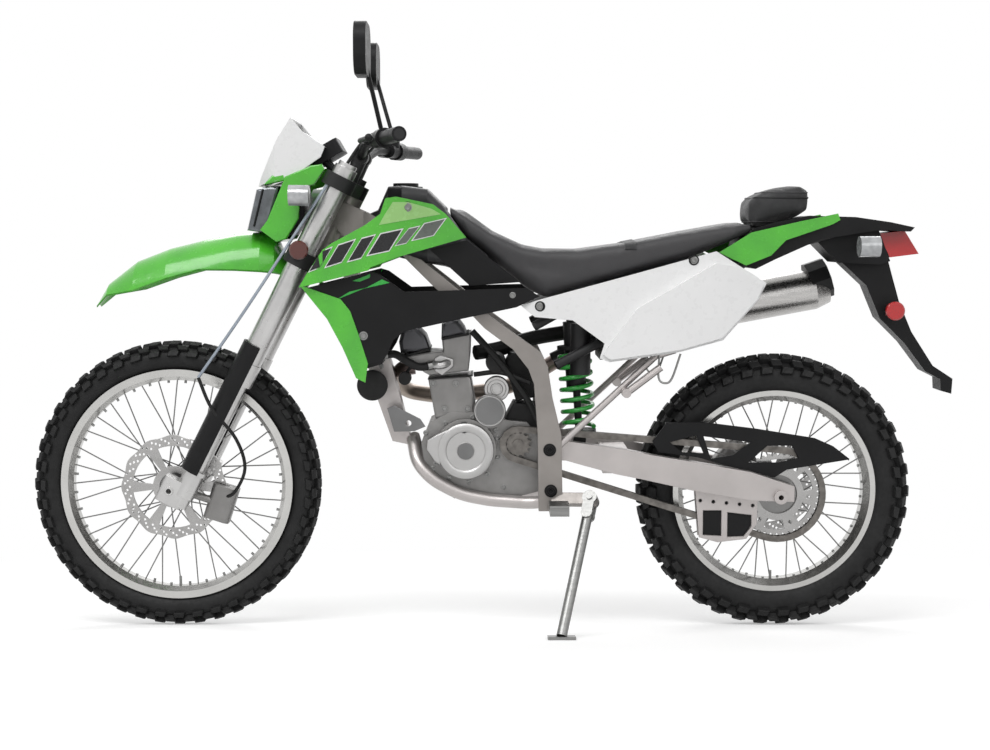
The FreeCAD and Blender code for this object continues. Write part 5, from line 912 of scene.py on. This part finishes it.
def band(piece, x, wide, thick, height):
    """A flat strap over a soft piece at x."""
    edges = [ring_on(piece, (place, 0, height), (0, 1, 0), (0, 0, 1), *OVER_SEAT, lift)
             for place in (x - wide / 2, x + wide / 2) for lift in (-STRAP_SUNK, thick)]
    rows = [row for row in zip(*edges) if all(row)]
    vertices, faces = [], []
    for low_in, low_out, high_in, high_out in rows:
        vertices += [low_in, low_out, high_out, high_in]
    for i in range(len(rows) - 1):
        for k in range(4):
            a, b = i * 4 + k, i * 4 + (k + 1) % 4
            faces.append((a, b, b + 4, a + 4))
    faces += [(3, 2, 1, 0), tuple(len(vertices) - 4 + k for k in range(4))]
    return new_mesh("band", vertices, faces)


def reflector(x, z, y):
    return turned(x, z, [(depth - y, r) for depth, r in REFLEX], LARGE_STEPS)


joined("peg_stays", [pipe(*stay) for stay in PEG_STAYS], arm_paint, "chassis",
       mirror=True)
joined("strap_hook", [pipe(*HOOK)], steel, "chassis", mirror=True)
joined("rear_reflex", [reflector(*REAR_REFLEX, REAR_REFLEX_Y)], red_glass, "chassis",
       mirror=True)
joined("reflex_bar", [pipe(*REFLEX_BAR)], black, "chassis")
joined("fork_reflex", [reflector(*FORK_REFLEX, FORK_REFLEX_Y)], amber_brown, "steering",
       mirror=True)
joined("seat_strap", [band(saddle, STRAP_X, STRAP_WIDE, STRAP_THICK, STRAP_Z)], cloth_black, "chassis")
joined("pouch_piping", [round_bag(PIPING_R, height) for height in PIPING_Z], vinyl, "chassis")
joined("pouch_zip", [round_bag(ZIP_R, ZIP_Z)], engine_black, "chassis")
joined("muffler_ring", [pipe(CAN_RING_R, [CAN_LOW, CAN_HIGH])], engine_black, "chassis")
bore_end = CAN_HIGH + (CAN_HIGH - CAN_LOW).normalized() * CAN_BORE_LONG
joined("muffler_bore", [pipe(CAN_BORE_R, [CAN_HIGH, bore_end])], steel, "chassis")


# Steering: cable and brake hoses, the wedge lamp and its mask

SPEED_CABLE = (3.6, [(-640, -128, 612), (-560, -130, 724), (-490, -131, 826), (-329, -122, 1070)])
LINES = [
    (4, [(-598, -70, 322), (-566, -94, 338), (-538, -110, 398), (-556, -126, 470), (-610, -128, 540),
         (-640, -128, 612)]),
    (4, [(-296, -108, 1100), (-262, -96, 1150), (-230, -150, 1168), (-222, -215, 1150)]),
    (4, [(-296, 108, 1100), (-262, 96, 1150), (-230, 150, 1168), (-222, 215, 1150)]),
    (3.5, [(-330, -30, 1060), (-260, -60, 1120), (-222, -200, 1140)])]
LENS = ([(-529, 951), (-506, 1047), (-481, 1053), (-452, 1053), (-475, 970), (-495, 946)], 90, 7)
LAMP_BACK = ([(-470, 960), (-450, 1052), (-400, 1060), (-395, 985), (-430, 940)], 86, 6)
LAMP_RIBS = [(2.5, [(-512, y, 960), (-490, y, 1046)]) for y in (-91, 91)]
CHEEK = [(-441, 1066), (-439, 1074), (-377, 1100), (-352, 1103), (-346, 1091), (-371, 1056), (-395, 1050),
         (-404, 1030), (-407, 979), (-429, 943), (-436, 931), (-460, 924), (-497, 952), (-480, 974)]
CHEEK_IN, CHEEK_OUT, CHEEK_BEVEL = 93, 103, 3
BROW = ([(-489, 1055), (-469, 1077), (-439, 1082), (-436, 1066)], 98, 4)
CHIN = ([(-497, 952), (-460, 924), (-436, 931), (-470, 948), (-490, 956)], 95, 2)

joined("front_line", [pipe(*SPEED_CABLE)], line_grey, "steering")
joined("brake_lines", [pipe(*line) for line in LINES], rubber, "steering")
joined("lamp_wedge", [across(*LENS)], lamp_glass, "steering", node="headlight")
joined("lamp_back", [across(*LAMP_BACK)] + [pipe(*rib) for rib in LAMP_RIBS], black, "steering")
joined("nose_mask", [plate([CHEEK], -CHEEK_OUT, -CHEEK_IN, CHEEK_BEVEL),
                     plate([CHEEK], CHEEK_IN, CHEEK_OUT, CHEEK_BEVEL), across(*BROW), across(*CHIN)],
       lime, "steering", node="headlight_mask")
joined("head_body", [across(*HEAD)], cast, "chassis", node="engine_head")
joined("barrel_body", [across(*BARREL)], cast, "chassis", node="engine_cylinder")


# Stage and light, in metres

FLOOR = [(-14, -9, 0), (14, -9, 0), (14, 16, 0), (-14, 16, 0)]
FLOOR_NEAR, FLOOR_FAR = 1.5, 3.2  # the floor fades from its own grey to plain white between these distances
FLOOR_GLOW, FLOOR_ROUGH, FLOOR_GRAIN = 0.36, 0.9, 3.0
FLOOR_GREY, FLOOR_LIGHT = (0.78, 0.78, 0.78), (0.80, 0.80, 0.80)
NO_LIGHT = (0.0, 0.0, 0.0)
SKY_LIGHT = 0.42
LAMPS = [  # name, place, aim, size, power
    ("key", (-1.6, -3.4, 4.0), (0, 0, 0.5), (4.0, 2.5), 165),
    ("fill", (2.6, -3.6, 2.2), (0, 0, 0.6), (3.0, 2.5), 30),
    ("back", (0.5, 3.6, 3.8), (0, 0, 0.6), (5.0, 2.0), 90)]


def make_floor():
    floor = bpy.data.objects.new("floor", new_mesh("floor", FLOOR, [(0, 1, 2, 3)]))
    bpy.context.scene.collection.objects.link(floor)
    material = bpy.data.materials.new("floor_white")
    made = Nodes(material)
    shader = made.tree.nodes["Principled BSDF"]
    where = made.place()
    grain = made.noise(where, FLOOR_GRAIN)
    away = made.add("ShaderNodeVectorMath", operation="LENGTH")
    made.link(where, away.inputs[0])
    near = made.spread(away.outputs["Value"], 1.0, 0.0, FLOOR_NEAR, FLOOR_FAR)
    tint = made.mix(made.spread(grain, 0, 1), FLOOR_GREY, FLOOR_LIGHT)
    made.link(made.mix(near, NO_LIGHT, tint), shader.inputs["Base Color"])
    shader.inputs["Roughness"].default_value = FLOOR_ROUGH
    shader.inputs["Specular IOR Level"].default_value = 0.0
    glow = made.add("ShaderNodeEmission", Color=(1, 1, 1, 1))
    made.link(made.spread(near, 1.0, FLOOR_GLOW, 0.0, 1.0), glow.inputs["Strength"])
    dark = made.add("ShaderNodeEmission", Color=(*NO_LIGHT, 1), Strength=0.0)
    both = made.add("ShaderNodeAddShader")
    made.link(shader.outputs[0], both.inputs[0])
    made.link(made.choose(made.seen(), dark.outputs[0], glow.outputs[0]), both.inputs[1])
    made.link(both.outputs[0], made.tree.nodes["Material Output"].inputs["Surface"])
    floor.data.materials.append(material)


def make_sky():
    """White where it is seen, and dimmer as a light."""
    world = bpy.data.worlds.new("studio")
    bpy.context.scene.world = world
    made = Nodes(world)
    plain = made.tree.nodes["Background"]
    plain.inputs["Color"].default_value = (1, 1, 1, 1)
    plain.inputs["Strength"].default_value = SKY_LIGHT
    shown = made.add("ShaderNodeBackground", Color=(1, 1, 1, 1), Strength=1.0)
    made.link(made.choose(made.seen(), plain.outputs[0], shown.outputs[0]),
              made.tree.nodes["World Output"].inputs["Surface"])


def make_lamp(name, place, aim, size, power):
    lamp = bpy.data.objects.new(name, bpy.data.lights.new(name, "AREA"))
    lamp.data.shape = "RECTANGLE"
    lamp.data.size, lamp.data.size_y = size
    lamp.data.energy = power
    lamp.location = place
    lamp.rotation_euler = (Vector(aim) - Vector(place)).to_track_quat("-Z", "Y").to_euler()
    bpy.context.scene.collection.objects.link(lamp)


make_floor()
make_sky()
for lamp in LAMPS:
    make_lamp(*lamp)
bpy.context.scene.view_settings.view_transform = "Standard"
